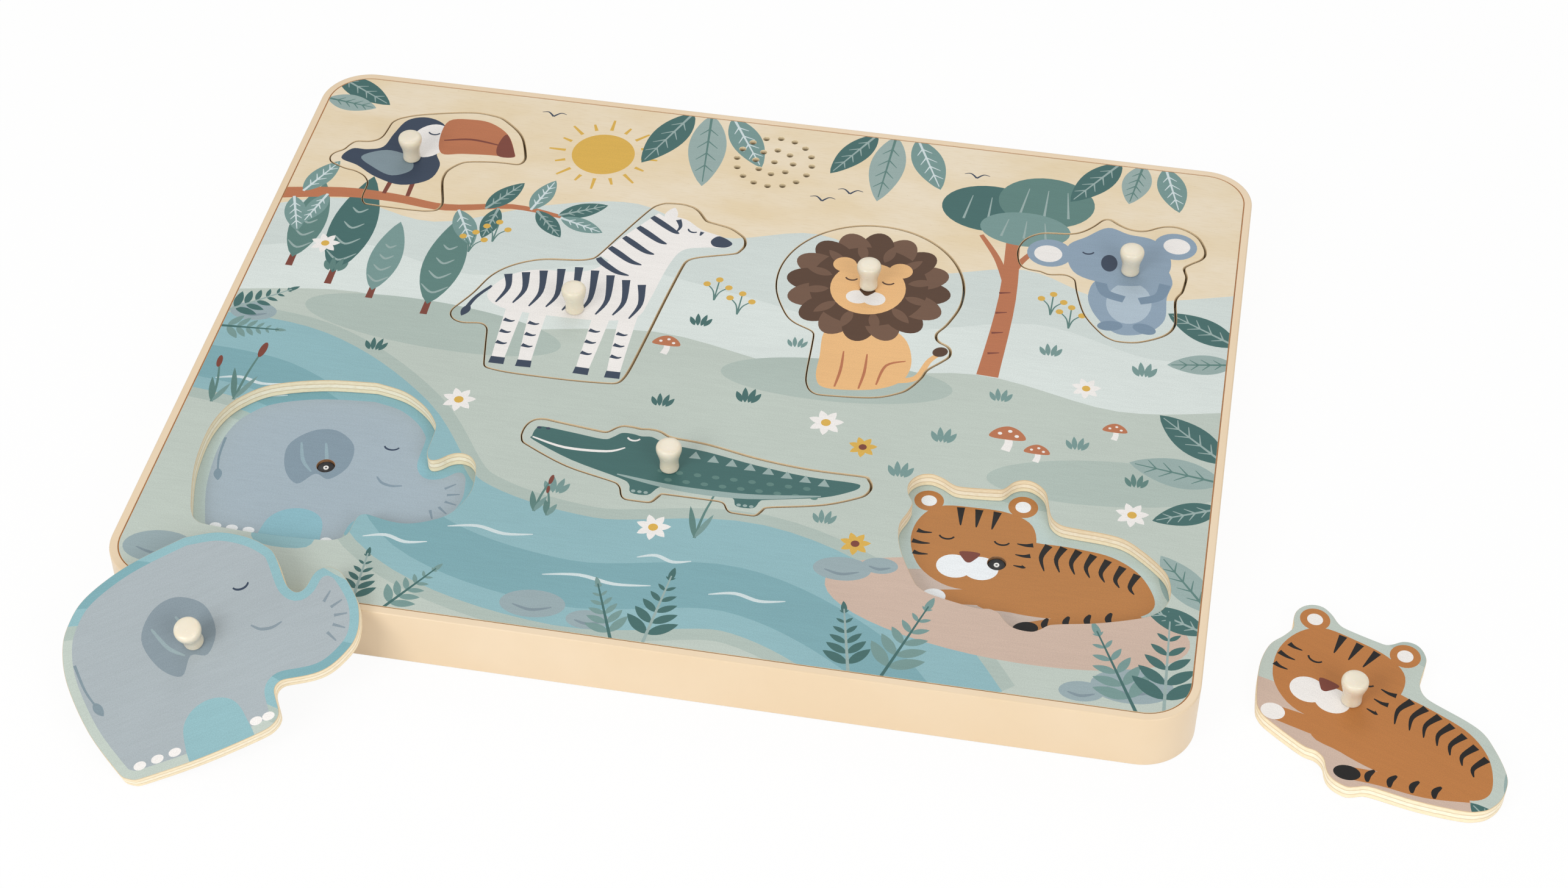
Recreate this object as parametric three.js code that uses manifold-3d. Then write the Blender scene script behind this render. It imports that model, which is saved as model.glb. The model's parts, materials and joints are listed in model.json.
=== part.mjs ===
// Animal sound puzzle: a shallow plastic tray holds a printed plywood board with seven
// animal pockets. Each plywood animal has a knob, and a light sensor under its pocket.
// Millimetres, +Z up, origin at the centre of the tray's underside, +Y towards the grille.
import * as THREE from "three";
import { mergeVertices } from "three/addons/utils/BufferGeometryUtils.js";
import Module from "manifold-3d";

const wasm = await Module();
wasm.setup();

// Tray
const trayWidth = 300;
const trayDepth = 230;
const trayCorner = 15;
const trayWall = 2.3;
const trayFloor = 2;
const trayEdgeRound = 0.45;
const ledgeWidth = 2;
const rimProud = 0.1;

// Board, sheet and the gaps between them
const plyThickness = 4.5;
const sheetThickness = 2;
const panelGap = 0.3;
const seatGap = 0.1;
const sawGap = 0.55;
const looseGap = 0.3;
const cutMargin = 1;

// Knob and the peg that is glued into each animal
const knobHeight = 9.2;
const knobHeadRadius = 3.7;
const knobWaistRadius = 2.6;
const knobBaseRadius = 2.8;
const knobNeckRadius = 2.7;
const pegRadius = 2;
const pegDepth = 3.2;
const pegGap = 0.15;

// Light sensor
const sensorHoleRadius = 2.6;
const sensorLip = 1.6;
const sensorLipHeight = 1;
const sensorBodyHeight = 2.6;
const sensorLensRadius = 1.1;
const sensorLensHeight = 0.8;

// Sound grille and speaker
const grilleInnerRadius = 6;
const grilleOuterRadius = 12;
const grilleRings = [
  { count: 1, radius: 0 },
  { count: 8, radius: grilleInnerRadius },
  { count: 16, radius: grilleOuterRadius },
];
const grilleHoleRadius = 1.05;
const soundMargin = 0.5;
const speakerFlange = 1.5;
const speakerMargin = 1.4;
const speakerHeight = 8;
const speakerWall = 0.8;
const magnetRadius = 8;
const magnetHeight = 3;

// Batteries and their box
const batteryRadius = 5.25;
const batteryLength = 43.7;
const batteryNubRadius = 1.9;
const batteryNubHeight = 0.8;
const batteryPlay = 0.2;
const springLength = 4.4;
const springRadius = 3;
const springWire = 0.3;
const springTurns = 3;
const springStepsPerTurn = 10;
const contactThickness = 0.5;
const contactWidth = 6;
const contactHeight = 7;
const boxWall = 1.5;
const boxCeiling = 0.8;
const boxFromFront = 31;
const sheetCutGap = 0.6;

// Battery door, its tab and its screw
const doorGap = 0.4;
const doorRecess = 0.3;
const doorEarLength = 8;
const doorEarWidth = 9;
const doorEarHeight = 1.2;
const tabLength = 2;
const tabWidth = 4;
const tabHeight = 1;
const tabRoom = 4.4;
const doorScrewHeadRadius = 2.1;
const doorScrewHeadHeight = 1.3;
const doorScrewRadius = 1;
const doorScrewReach = 3.2;
const doorScrewSwing = 0.45;
const doorBossHeight = 5;

// Case screws and their posts
const screwHeadRadius = 2.7;
const screwHeadHeight = 1.9;
const screwRadius = 1.4;
const screwBite = 3;
const screwGap = 0.25;
const screwSink = 0.4;
const postWall = 1.4;
const postInset = 12;
const postSideInset = 45;
const postSideRise = 6;

// Circuit board and chip
const circuitWidth = 44;
const circuitDepth = 32;
const circuitThickness = 1.6;
const circuitRise = 25;
const circuitPostHeight = 2;
const circuitPostRadius = 2;
const circuitPostInset = 4;
const chipRadius = 6;
const chipHeight = 1.8;

// Slide switch
const switchLength = 14;
const switchWidth = 7;
const switchHeight = 6;
const switchTravel = 4;
const switchFromBox = 9;
const sliderLength = 5;
const sliderWidth = 3.6;
const sliderHeight = 2.4;
const gripLength = 4;
const gripWidth = 2.4;
const gripRecess = 0.6;
const sliderGap = 0.4;

// Leads
const leadRadius = 0.75;
const leadGap = 0.3;
const leadBend = 5;
const leadDrop = 1.5;
const padReach = 8;
const padSpread = 13;
const padPitch = 6;
const leadRun = 12;
const stepsPerPoint = 3;

// The lion's mane is a round about its knob
const maneRadius = 28.6;
const maneAcross = 0.4;

// How many flat sides each kind of round piece has
const sides = {
  edge: 3, spring: 4, lead: 5, grille: 8, corner: 10, peg: 10, small: 12, doorHead: 14, round: 16, speaker: 20,
  sound: 24,
};

// Where the two loose animals lie: turned on the table, and leaning on the front rim
const tigerTurn = THREE.MathUtils.degToRad(-25.1);
const tigerPastRight = 40.3;
const tigerFromFront = 29;
const elephantTurn = THREE.MathUtils.degToRad(31.9);
const elephantFromLeft = 34.4;
const elephantDownSlope = 17.8;

// Heights that follow: the batteries set the room under the board
const boxTop = trayFloor + 2 * batteryRadius + 2 * batteryPlay + boxCeiling;
const boardBottom = boxTop + seatGap;
const boardTop = boardBottom + plyThickness;
const sheetTop = boardBottom - seatGap;
const sheetBottom = sheetTop - sheetThickness;
const ledgeTop = sheetBottom - seatGap;
const trayHeight = boardTop + rimProud;
const speakerRadius = grilleOuterRadius + grilleHoleRadius + soundMargin + speakerFlange;

// Each animal: the tray sides its knob is measured from, the knob's place, and the pocket's
// outline as points about the knob, in order round the shape
const animals = {
  toucan: {
    from: ["left", "back"],
    knob: [37.2, 40],
    colour: 0x3b465a,
    outline: [
      [-15.9, 5.9], [-20, 5.2], [-21.6, 3.1], [-22.6, 0.6], [-25.1, -1.6], [-26, -3.8], [-25.2, -6.3],
      [-20, -8.9], [-16.2, -9.6], [-12.6, -11.6], [-10.6, -15], [-10.5, -21.6], [-9.4, -24],
      [-7.4, -24.9], [12.3, -24.5], [14.7, -23.2], [15.4, -20.3], [14.8, -17], [13, -11.5], [12.4, -7],
      [13, -3.8], [16.5, 0.4], [23.8, 2.4], [33.2, 2.7], [34.9, 3.8], [35.4, 6], [34.7, 9.4],
      [31.5, 17.4], [23.8, 24.6], [18.8, 26.2], [12.5, 26.3], [6.2, 25.1], [-6.2, 21], [-9.4, 19],
      [-11.3, 16.7], [-11.8, 13.5], [-12.3, 9.6], [-13.4, 7.4],
    ],
  },
  zebra: {
    from: ["centre", "centre"],
    knob: [-45.8, 14.3],
    colour: 0xe8e4e4,
    outline: [
      [21.4, 54.4], [16.2, 53.8], [12.8, 51], [7.3, 40.3], [3.2, 29.7], [0.9, 25.4], [-1.6, 23.3],
      [-5.2, 22.3], [-15.2, 20.8], [-23.3, 16.6], [-29.2, 9.7], [-32.4, 1], [-34.2, -2.8],
      [-36.3, -6.2], [-36.4, -8.7], [-34.9, -10.9], [-31.5, -12], [-25.8, -11.4], [-24, -13.2],
      [-23.1, -18], [-21.8, -26], [-20.4, -29.2], [-17.8, -30.3], [12.8, -30.4], [18, -29.8],
      [20.4, -28.2], [21.6, -24.6], [24.8, 0.4], [27.9, 25.3], [28.9, 28.1], [31.1, 29.7],
      [38.5, 32.2], [42.4, 33.9], [44.3, 36.7], [44.6, 39.2], [43.6, 42], [38.5, 45.8], [31, 47.6],
      [29.2, 49.8], [27.2, 52.2], [24.7, 53.8],
    ],
  },
  lion: {
    from: ["centre", "centre"],
    knob: [38.8, 41],
    colour: 0x5d4037,
    arc: { centre: [maneAcross, 0], radius: maneRadius, start: -25, end: 225, steps: 14 },
    outline: [
      [-13.3, -23.6], [-12.7, -25.6], [-12.6, -29.6], [-12.2, -41], [-11, -46.7], [-9.2, -49.2],
      [-6.5, -50], [3, -49.6], [8, -48.7], [13, -47], [17.4, -44.2], [20.2, -40.7], [21.7, -37.6],
      [22.7, -34.2], [24.3, -31.9], [27, -29.2], [28.5, -26.8], [28.5, -24], [27, -22], [24.7, -20.9],
      [23.5, -19.3], [23.6, -17],
    ],
  },
  koala: {
    from: ["right", "back"],
    knob: [34.2, 52.8],
    colour: 0x7c94ae,
    outline: [
      [-8.5, 23.7], [-10.8, 22.9], [-14.2, 18.2], [-17.3, 15.7], [-20.4, 14.4], [-27.9, 13.4],
      [-31.1, 11.7], [-33.4, 9.2], [-34.8, 5.5], [-34.9, 1.4], [-33.1, -3.5], [-30.7, -4.8],
      [-27, -5.1], [-24.4, -6.1], [-19.2, -5.4], [-16.9, -6.5], [-15.8, -8.6], [-14.5, -15.8],
      [-10.7, -24.3], [-4.8, -30.8], [-1.4, -32.3], [1.5, -32.4], [6.5, -31.3], [13.3, -26.8],
      [15.3, -23.2], [15.7, -20.2], [14.8, -12.5], [15.4, -8.9], [16.6, -6.4], [17.2, -2.7],
      [17.2, 1], [16.2, 4.6], [18.9, 7.5], [20.8, 9.1], [22, 11.5], [21.8, 14.5], [19, 20.1],
      [14, 23.3], [10.2, 23.7], [7.1, 22.8], [3.9, 20.7], [0.8, 19.8], [-2.4, 20.2], [-5, 21.4],
    ],
  },
  crocodile: {
    from: ["centre", "front"],
    knob: [-4.2, 68.8],
    colour: 0x3f6b66,
    outline: [
      [-38.9, 13.1], [-41.7, 12.6], [-43.6, 10.8], [-44.6, 7.7], [-44.5, 4.6], [-43.1, 2.2], [-36, -2],
      [-24.8, -6.4], [-13.9, -9], [-12.3, -10.6], [-11.3, -13.6], [-10, -14.7], [-2.5, -14.7],
      [-1.3, -13.4], [0, -11.1], [2, -10.9], [16, -10.9], [17.5, -11.2], [18.6, -13.3], [19.9, -14.4],
      [27.4, -14.4], [28.6, -12.8], [29.8, -11], [40.8, -8.4], [52, -4], [56.2, -0.8], [57.5, 1.9],
      [57.1, 4.4], [55.6, 6.2], [53, 7], [34.6, 6.7], [28.3, 7.4], [15.8, 10.2], [3.3, 12.1],
      [-2.2, 12.4], [-5.8, 14.2], [-9, 14.5], [-11.2, 14.1], [-14.2, 14.6], [-17.2, 14.2], [-19, 12.8],
      [-20.6, 11.2], [-24.8, 11.3], [-35.4, 12.6],
    ],
  },
  elephant: {
    from: ["left", "front"],
    knob: [48.3, 56],
    colour: 0xa3b1b9,
    outline: [
      [5.7, 31.1], [12, 30.3], [17.3, 28.3], [22, 25], [25.5, 21.4], [27.7, 17.8], [28.5, 13.5],
      [28.5, 6], [30.1, 3.2], [32.3, 3.8], [34.8, 6.3], [37.6, 7.5], [40.7, 6.9], [43.2, 3.7],
      [44.5, -2], [44.4, -8.1], [41, -16.2], [33.2, -21.3], [27.2, -22.2], [20.7, -21.1], [18.1, -20.6],
      [16.3, -21.7], [15.5, -28.6], [13.3, -31.2], [8.7, -32.5], [-24.3, -32.5], [-27.9, -31],
      [-29.7, -28.4], [-34.3, -12.5], [-35.4, -2.5], [-35.3, 5], [-33.9, 12], [-30.2, 18.8],
      [-23.7, 24.6], [-14.9, 28.1], [-3.7, 30.5],
    ],
  },
  tiger: {
    from: ["right", "front"],
    knob: [59, 53.2],
    colour: 0xc47a44,
    outline: [
      [-22.1, 26.6], [-25, 25.8], [-27.1, 23.7], [-28, 20.6], [-27.3, 17.3], [-25.8, 14.6],
      [-26.2, 11.3], [-27.7, 7.4], [-28.1, 3.7], [-26.1, -5.1], [-23.6, -9.5], [-20.6, -15.8],
      [-17.8, -18.2], [-13.5, -19.8], [-4.2, -21.8], [0.7, -21.5], [3.2, -22.6], [4.8, -24.8],
      [7, -26.8], [10.1, -27.7], [13.3, -27.5], [15.2, -26.1], [17.5, -24.3], [23, -22.4],
      [32.6, -20.7], [42.6, -16.6], [46.3, -13.4], [47.9, -9.5], [48, -5.2], [46.4, -0.1], [43.2, 4],
      [35.1, 10.1], [30.7, 11.9], [17, 13], [14.7, 14], [12.8, 16.4], [11.4, 22.1], [10.5, 24.9],
      [8.6, 27.4], [5.8, 28.9], [3.2, 28.8], [0.8, 27.3], [-0.7, 25], [-2.5, 23.9], [-13, 23],
      [-15.8, 23.6], [-18.7, 25.5],
    ],
  },
};

// Plain materials, one look for each kind of piece
const looks = {
  peachPlastic: { color: 0xf3dab5, roughness: 0.45, metalness: 0 },
  plywood: { color: 0xe6d3b0, roughness: 0.7, metalness: 0 },
  hardboard: { color: 0xb9c8c4, roughness: 0.8, metalness: 0 },
  ivoryPlastic: { color: 0xede6d6, roughness: 0.25, metalness: 0 },
  blackPlastic: { color: 0x1c1c1e, roughness: 0.5, metalness: 0 },
  steel: { color: 0xb8bcc0, roughness: 0.3, metalness: 1 },
  paperCone: { color: 0x2b2b2b, roughness: 0.9, metalness: 0 },
  circuitGreen: { color: 0x2f6b43, roughness: 0.5, metalness: 0 },
  batteryJacket: { color: 0x3f7f5a, roughness: 0.35, metalness: 0.3 },
  redLead: { color: 0xa8322a, roughness: 0.5, metalness: 0 },
};

const puzzle = new THREE.Group();

// A named mesh in a group
function addPiece(group, name, geometry, look) {
  const mesh = new THREE.Mesh(geometry, new THREE.MeshStandardMaterial(look));
  mesh.name = name;
  group.add(mesh);
  return mesh;
}

// Joining and cutting of closed geometries
function solidOf(geometry) {
  const bare = geometry.index ? geometry.toNonIndexed() : geometry.clone();
  bare.deleteAttribute("normal");
  bare.deleteAttribute("uv");
  const merged = mergeVertices(bare, 1e-4);
  const mesh = new wasm.Mesh({
    numProp: 3,
    vertProperties: merged.attributes.position.array,
    triVerts: new Uint32Array(merged.index.array),
  });
  return new wasm.Manifold(mesh);
}

function geometryOf(solid) {
  const mesh = solid.getMesh();
  const geometry = new THREE.BufferGeometry();
  geometry.setAttribute("position", new THREE.BufferAttribute(mesh.vertProperties, 3));
  geometry.setIndex(new THREE.BufferAttribute(mesh.triVerts, 1));
  return geometry;
}

function joinAll(first, others) {
  return others.reduce((whole, geometry) => whole.add(solidOf(geometry)), first);
}

function cutAll(first, tools) {
  return tools.reduce((whole, geometry) => whole.subtract(solidOf(geometry)), first);
}

// Simple closed shapes, standing on height low
function block(width, depth, height, x, y, low) {
  return new THREE.BoxGeometry(width, depth, height).translate(x, y, low + height / 2);
}

function rod(radius, height, x, y, low, count = sides.round) {
  const geometry = new THREE.CylinderGeometry(radius, radius, height, count);
  return geometry.rotateX(Math.PI / 2).translate(x, y, low + height / 2);
}

function turned(profile, x, y, low, count = sides.round) {
  const points = profile.map(([radius, height]) => new THREE.Vector2(radius, height));
  return new THREE.LatheGeometry(points, count).rotateX(Math.PI / 2).translate(x, y, low);
}

function slab(points, height, low) {
  const shape = new THREE.Shape(points.map(([x, y]) => new THREE.Vector2(x, y)));
  const options = { depth: height, bevelEnabled: false };
  return new THREE.ExtrudeGeometry(shape, options).translate(0, 0, low);
}

function roundedRectangle(width, depth, corner) {
  const shape = new THREE.Shape();
  const x = width / 2 - corner;
  const y = depth / 2 - corner;
  shape.absarc(x, y, corner, 0, Math.PI / 2);
  shape.absarc(-x, y, corner, Math.PI / 2, Math.PI);
  shape.absarc(-x, -y, corner, Math.PI, 1.5 * Math.PI);
  shape.absarc(x, -y, corner, 1.5 * Math.PI, 2 * Math.PI);
  return shape;
}

function panel(inset, height, low) {
  const shape = roundedRectangle(trayWidth - 2 * inset, trayDepth - 2 * inset, trayCorner - inset);
  const options = { depth: height, bevelEnabled: false, curveSegments: sides.corner };
  return new THREE.ExtrudeGeometry(shape, options).translate(0, 0, low);
}

function tube(points, radius, steps, count) {
  const path = new THREE.CatmullRomCurve3(points.map((point) => new THREE.Vector3(...point)));
  const section = new THREE.Shape();
  for (let side = 0; side < count; side += 1) {
    const angle = (2 * Math.PI * side) / count;
    const x = radius * Math.cos(angle);
    const y = radius * Math.sin(angle);
    if (side === 0) section.moveTo(x, y);
    else section.lineTo(x, y);
  }
  section.closePath();
  const options = { steps, extrudePath: path, bevelEnabled: false };
  return new THREE.ExtrudeGeometry(section, options);
}

// Outlines: a smooth closed curve through the points, moved in by a gap, with the points
// spaced by how much the curve turns
const turnPerPoint = THREE.MathUtils.degToRad(18);
const stepPerPoint = 14;

function smoothOutline(animal, gap) {
  const corners = animal.outline.map(([x, y]) => new THREE.Vector3(x, y, 0));
  if (animal.arc) {
    const { centre, radius, start, end, steps } = animal.arc;
    for (let step = 0; step <= steps; step += 1) {
      const angle = THREE.MathUtils.degToRad(start + ((end - start) * step) / steps);
      corners.push(
        new THREE.Vector3(centre[0] + radius * Math.cos(angle), centre[1] + radius * Math.sin(angle), 0),
      );
    }
  }
  const curve = new THREE.CatmullRomCurve3(corners, true, "centripetal");
  const fine = curve.getPoints(corners.length * 8).slice(0, -1);
  if (THREE.ShapeUtils.area(fine) < 0) fine.reverse();
  const moved = fine.map((point, index) => {
    const before = fine[(index + fine.length - 1) % fine.length];
    const after = fine[(index + 1) % fine.length];
    const along = after.clone().sub(before).normalize();
    return [point.x - along.y * gap, point.y + along.x * gap];
  });
  return spacedByTurn(moved);
}

function spacedByTurn(points) {
  const kept = [points[0]];
  let turn = 0;
  for (let index = 1; index < points.length; index += 1) {
    const before = points[index - 1];
    const here = points[index];
    const after = points[(index + 1) % points.length];
    const headingIn = Math.atan2(here[1] - before[1], here[0] - before[0]);
    const headingOut = Math.atan2(after[1] - here[1], after[0] - here[0]);
    turn += Math.abs(Math.atan2(Math.sin(headingOut - headingIn), Math.cos(headingOut - headingIn)));
    const last = kept[kept.length - 1];
    const step = Math.hypot(here[0] - last[0], here[1] - last[1]);
    if (turn > turnPerPoint || step > stepPerPoint) {
      kept.push(here);
      turn = 0;
    }
  }
  return kept;
}

// Places measured from the tray's sides
function placeFrom(sides, [across, along]) {
  const xs = { left: across - trayWidth / 2, centre: across, right: trayWidth / 2 - across };
  const ys = { front: along - trayDepth / 2, centre: along, back: trayDepth / 2 - along };
  return [xs[sides[0]], ys[sides[1]]];
}

const knobPlaces = {};
for (const [name, animal] of Object.entries(animals)) {
  knobPlaces[name] = placeFrom(animal.from, animal.knob);
}

const grilleFromBack = trayWall + ledgeWidth + speakerRadius + speakerMargin;
const grilleY = trayDepth / 2 - grilleFromBack;
const soundRadius = speakerRadius - speakerFlange;

const boxLength = batteryLength + batteryNubHeight + springLength + contactThickness + 2 * looseGap;
const boxWidth = 4 * batteryRadius + 3 * batteryPlay;
const boxY = boxFromFront - trayDepth / 2;
const boxOuterLength = boxLength + 2 * boxWall;
const boxOuterWidth = boxWidth + 2 * boxWall;
const earX = boxLength / 2 + doorEarLength / 2;
const doorEnd = -boxLength / 2 + doorGap;
const bossBottom = trayFloor + doorEarHeight + seatGap;

const switchX = boxOuterLength / 2 + doorEarLength + switchFromBox;
const switchSlot = gripLength + switchTravel + 2 * sliderGap;
const switchRoom = sliderLength + switchTravel + 2 * sliderGap;

const screwPlaces = [
  placeFrom(["left", "back"], [postInset, postInset]),
  placeFrom(["right", "back"], [postInset, postInset]),
  placeFrom(["left", "centre"], [postSideInset, postSideRise]),
  placeFrom(["right", "centre"], [postSideInset, postSideRise]),
  placeFrom(["left", "front"], [postInset, postInset]),
  placeFrom(["right", "front"], [postInset, postInset]),
];
const postRadius = screwHeadRadius + screwGap + postWall;
const screwSeat = screwSink + screwHeadHeight + seatGap;

const circuitPosts = [];
for (const sideX of [-1, 1]) {
  for (const sideY of [-1, 1]) {
    circuitPosts.push([
      sideX * (circuitWidth / 2 - circuitPostInset),
      circuitRise + sideY * (circuitDepth / 2 - circuitPostInset),
    ]);
  }
}

// Tray: a rounded shell with a ledge, screw posts, circuit posts and the battery box
function makeTray() {
  const outer = roundedRectangle(trayWidth, trayDepth, trayCorner);
  const options = {
    depth: trayHeight - 2 * trayEdgeRound,
    bevelThickness: trayEdgeRound,
    bevelSize: trayEdgeRound,
    bevelOffset: -trayEdgeRound,
    bevelSegments: sides.edge,
    curveSegments: sides.corner,
  };
  const body = solidOf(new THREE.ExtrudeGeometry(outer, options).translate(0, 0, trayEdgeRound));
  const hollow = cutAll(body, [
    panel(trayWall, trayHeight, ledgeTop),
    panel(trayWall + ledgeWidth, trayHeight, trayFloor),
  ]);
  const posts = screwPlaces.map(([x, y]) => rod(postRadius, ledgeTop, x, y, 0));
  const pegs = circuitPosts.map(([x, y]) =>
    rod(circuitPostRadius, trayFloor + circuitPostHeight, x, y, 0, sides.peg),
  );
  const boss = block(doorEarLength, doorEarWidth, doorBossHeight, earX, boxY, bossBottom);
  const box = block(boxOuterLength, boxOuterWidth, boxTop, 0, boxY, 0);
  const built = joinAll(hollow, [...posts, ...pegs, box, boss]);

  const through = trayFloor + 2 * cutMargin;
  const earRoomLength = doorEarLength + 2 * doorGap;
  const earRoomWidth = doorEarWidth + 2 * doorGap;
  const screwRoom = doorScrewReach + seatGap + cutMargin;
  const heads = screwPlaces.map(([x, y]) =>
    rod(screwHeadRadius + screwGap, screwSeat + cutMargin, x, y, -cutMargin),
  );
  const holes = screwPlaces.map(([x, y]) => rod(screwRadius + screwGap, trayHeight, x, y, 0, sides.small));
  return cutAll(built, [
    ...heads,
    ...holes,
    block(boxLength, boxWidth, boxTop - boxCeiling + cutMargin, 0, boxY, -cutMargin),
    block(earRoomLength, earRoomWidth, bossBottom + cutMargin, earX, boxY, -cutMargin),
    block(2 * boxWall, tabWidth + 2 * doorGap, tabRoom, -boxOuterLength / 2 + boxWall / 2, boxY, trayFloor),
    rod(doorScrewRadius + doorScrewSwing, screwRoom, earX, boxY, bossBottom - cutMargin, sides.small),
    block(switchSlot, gripWidth + 2 * sliderGap, through, switchX, boxY, -cutMargin),
  ]);
}

addPiece(puzzle, "tray_shell", geometryOf(makeTray()), looks.peachPlastic);

// Backing sheet: the pocket floors, with openings for sensors, sound, battery box and screws
const panelInset = trayWall + panelGap;

function makeSheet() {
  const through = sheetThickness + 2 * cutMargin;
  const low = sheetBottom - cutMargin;
  const sensors = Object.values(knobPlaces).map(([x, y]) => rod(sensorHoleRadius, through, x, y, low));
  const screws = screwPlaces.map(([x, y]) => rod(screwRadius + screwGap, through, x, y, low, sides.small));
  const boxCut = block(
    boxOuterLength + 2 * sheetCutGap,
    boxOuterWidth + 2 * sheetCutGap,
    through,
    0,
    boxY,
    low,
  );
  const sound = rod(soundRadius, through, 0, grilleY, low, sides.sound);
  const sheet = solidOf(panel(panelInset, sheetThickness, sheetBottom));
  return cutAll(sheet, [...sensors, ...screws, boxCut, sound]);
}

addPiece(puzzle, "backing_sheet", geometryOf(makeSheet()), looks.hardboard);

// Puzzle board: the pockets are sawn right through it, and the grille is drilled
function makeBoard() {
  const through = plyThickness + 2 * cutMargin;
  const low = boardBottom - cutMargin;
  const pockets = Object.entries(animals).map(([name, animal]) => {
    const [x, y] = knobPlaces[name];
    return slab(smoothOutline(animal, 0), through, low).translate(x, y, 0);
  });
  const drilled = [];
  for (const { count, radius } of grilleRings) {
    for (let hole = 0; hole < count; hole += 1) {
      const angle = (2 * Math.PI * hole) / count;
      const x = radius * Math.cos(angle);
      const y = grilleY + radius * Math.sin(angle);
      drilled.push(rod(grilleHoleRadius, through, x, y, low, sides.grille));
    }
  }
  const pilotDepth = screwBite + looseGap + cutMargin;
  const pilots = screwPlaces.map(([x, y]) =>
    rod(screwRadius + screwGap, pilotDepth, x, y, low, sides.small),
  );
  const board = solidOf(panel(panelInset, plyThickness, boardBottom));
  return cutAll(board, [...pockets, ...drilled, ...pilots]);
}

addPiece(puzzle, "puzzle_board", geometryOf(makeBoard()), looks.plywood);

// Animals: each is sawn from the ply with its knob glued in, in a group that holds its place
const knobProfile = [
  [0, -pegDepth],
  [pegRadius, -pegDepth],
  [pegRadius, seatGap],
  [knobBaseRadius, seatGap],
  [knobWaistRadius, 0.22 * knobHeight],
  [knobNeckRadius, 0.4 * knobHeight],
  [0.88 * knobHeadRadius, 0.58 * knobHeight],
  [knobHeadRadius, 0.76 * knobHeight],
  [0.94 * knobHeadRadius, 0.89 * knobHeight],
  [0.66 * knobHeadRadius, 0.975 * knobHeight],
  [0, knobHeight],
];

function makeAnimal(name, animal) {
  const group = new THREE.Group();
  const body = solidOf(slab(smoothOutline(animal, sawGap), plyThickness, 0));
  const socketLow = plyThickness - pegDepth - seatGap;
  const socket = rod(pegRadius + pegGap, pegDepth + seatGap + cutMargin, 0, 0, socketLow);
  addPiece(group, name, geometryOf(cutAll(body, [socket])), { ...looks.plywood, color: animal.colour });
  addPiece(group, `${name}_knob`, turned(knobProfile, 0, 0, plyThickness), looks.ivoryPlastic);
  puzzle.add(group);
  return group;
}

const animalGroups = {};
for (const [name, animal] of Object.entries(animals)) {
  animalGroups[name] = makeAnimal(name, animal);
  animalGroups[name].position.set(...knobPlaces[name], boardBottom);
}

// The tiger lies flat on the table beside the tray
animalGroups.tiger.position.set(trayWidth / 2 + tigerPastRight, tigerFromFront - trayDepth / 2, 0);
animalGroups.tiger.rotation.z = tigerTurn;

// The elephant leans on the front rim, with its lowest foot on the table
function leanElephant(group) {
  const sine = Math.sin(elephantTurn);
  const cosine = Math.cos(elephantTurn);
  const reach = smoothOutline(animals.elephant, sawGap).map(([x, y]) => x * sine + y * cosine);
  const footReach = elephantDownSlope - Math.min(...reach);
  const restHeight = trayHeight + looseGap;
  const tilt = Math.asin(restHeight / footReach);
  const rimY = trayEdgeRound * (1 - Math.sin(tilt)) - trayDepth / 2;
  group.rotation.set(tilt, 0, elephantTurn, "XYZ");
  group.position.set(
    elephantFromLeft - trayWidth / 2,
    rimY - elephantDownSlope * Math.cos(tilt),
    (footReach - elephantDownSlope) * Math.sin(tilt),
  );
}

leanElephant(animalGroups.elephant);

// Light sensors: a black cup glued under the sheet, with a small lens in its hole
const sensorBottom = sheetBottom - seatGap - sensorLipHeight - sensorBodyHeight;
const sensorProfile = [
  [0, 0],
  [sensorHoleRadius, 0],
  [sensorHoleRadius, sensorBodyHeight],
  [sensorHoleRadius + sensorLip, sensorBodyHeight],
  [sensorHoleRadius + sensorLip, sensorBodyHeight + sensorLipHeight],
  [sensorLensRadius, sensorBodyHeight + sensorLipHeight],
  [0.7 * sensorLensRadius, sensorBodyHeight + sensorLipHeight + 0.7 * sensorLensHeight],
  [0, sensorBodyHeight + sensorLipHeight + sensorLensHeight],
];

for (const [name, [x, y]] of Object.entries(knobPlaces)) {
  const sensor = turned(sensorProfile, x, y, sensorBottom, sides.small);
  addPiece(puzzle, `${name}_sensor`, sensor, looks.blackPlastic);
}

// Speaker, glued under the sheet round the sound opening
const speakerTop = sheetBottom - seatGap;
const speakerLow = speakerTop - speakerHeight;
const basketLow = speakerLow + magnetHeight + seatGap;
const basketHeight = speakerTop - basketLow;
const coneRadius = soundRadius - 2 * speakerWall - looseGap;
const coneLow = speakerWall + looseGap;

const frameProfile = [
  [0, 0],
  [magnetRadius, 0],
  [soundRadius, basketHeight - speakerWall],
  [speakerRadius, basketHeight - speakerWall],
  [speakerRadius, basketHeight],
  [soundRadius - speakerWall, basketHeight],
  [magnetRadius - speakerWall, speakerWall],
  [0, speakerWall],
];
const coneProfile = [
  [0, coneLow],
  [0.7 * magnetRadius, coneLow],
  [coneRadius, basketHeight - looseGap],
  [coneRadius - speakerWall, basketHeight - looseGap],
  [0.6 * magnetRadius, coneLow + speakerWall],
  [0, coneLow + 2 * speakerWall],
];

const speakerFrame = turned(frameProfile, 0, grilleY, basketLow, sides.speaker);
const speakerCone = turned(coneProfile, 0, grilleY, basketLow, sides.speaker);
addPiece(puzzle, "speaker_frame", speakerFrame, looks.steel);
addPiece(puzzle, "speaker_cone", speakerCone, looks.paperCone);
addPiece(
  puzzle,
  "speaker_magnet",
  rod(magnetRadius, magnetHeight, 0, grilleY, speakerLow, sides.speaker),
  looks.steel,
);

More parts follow.
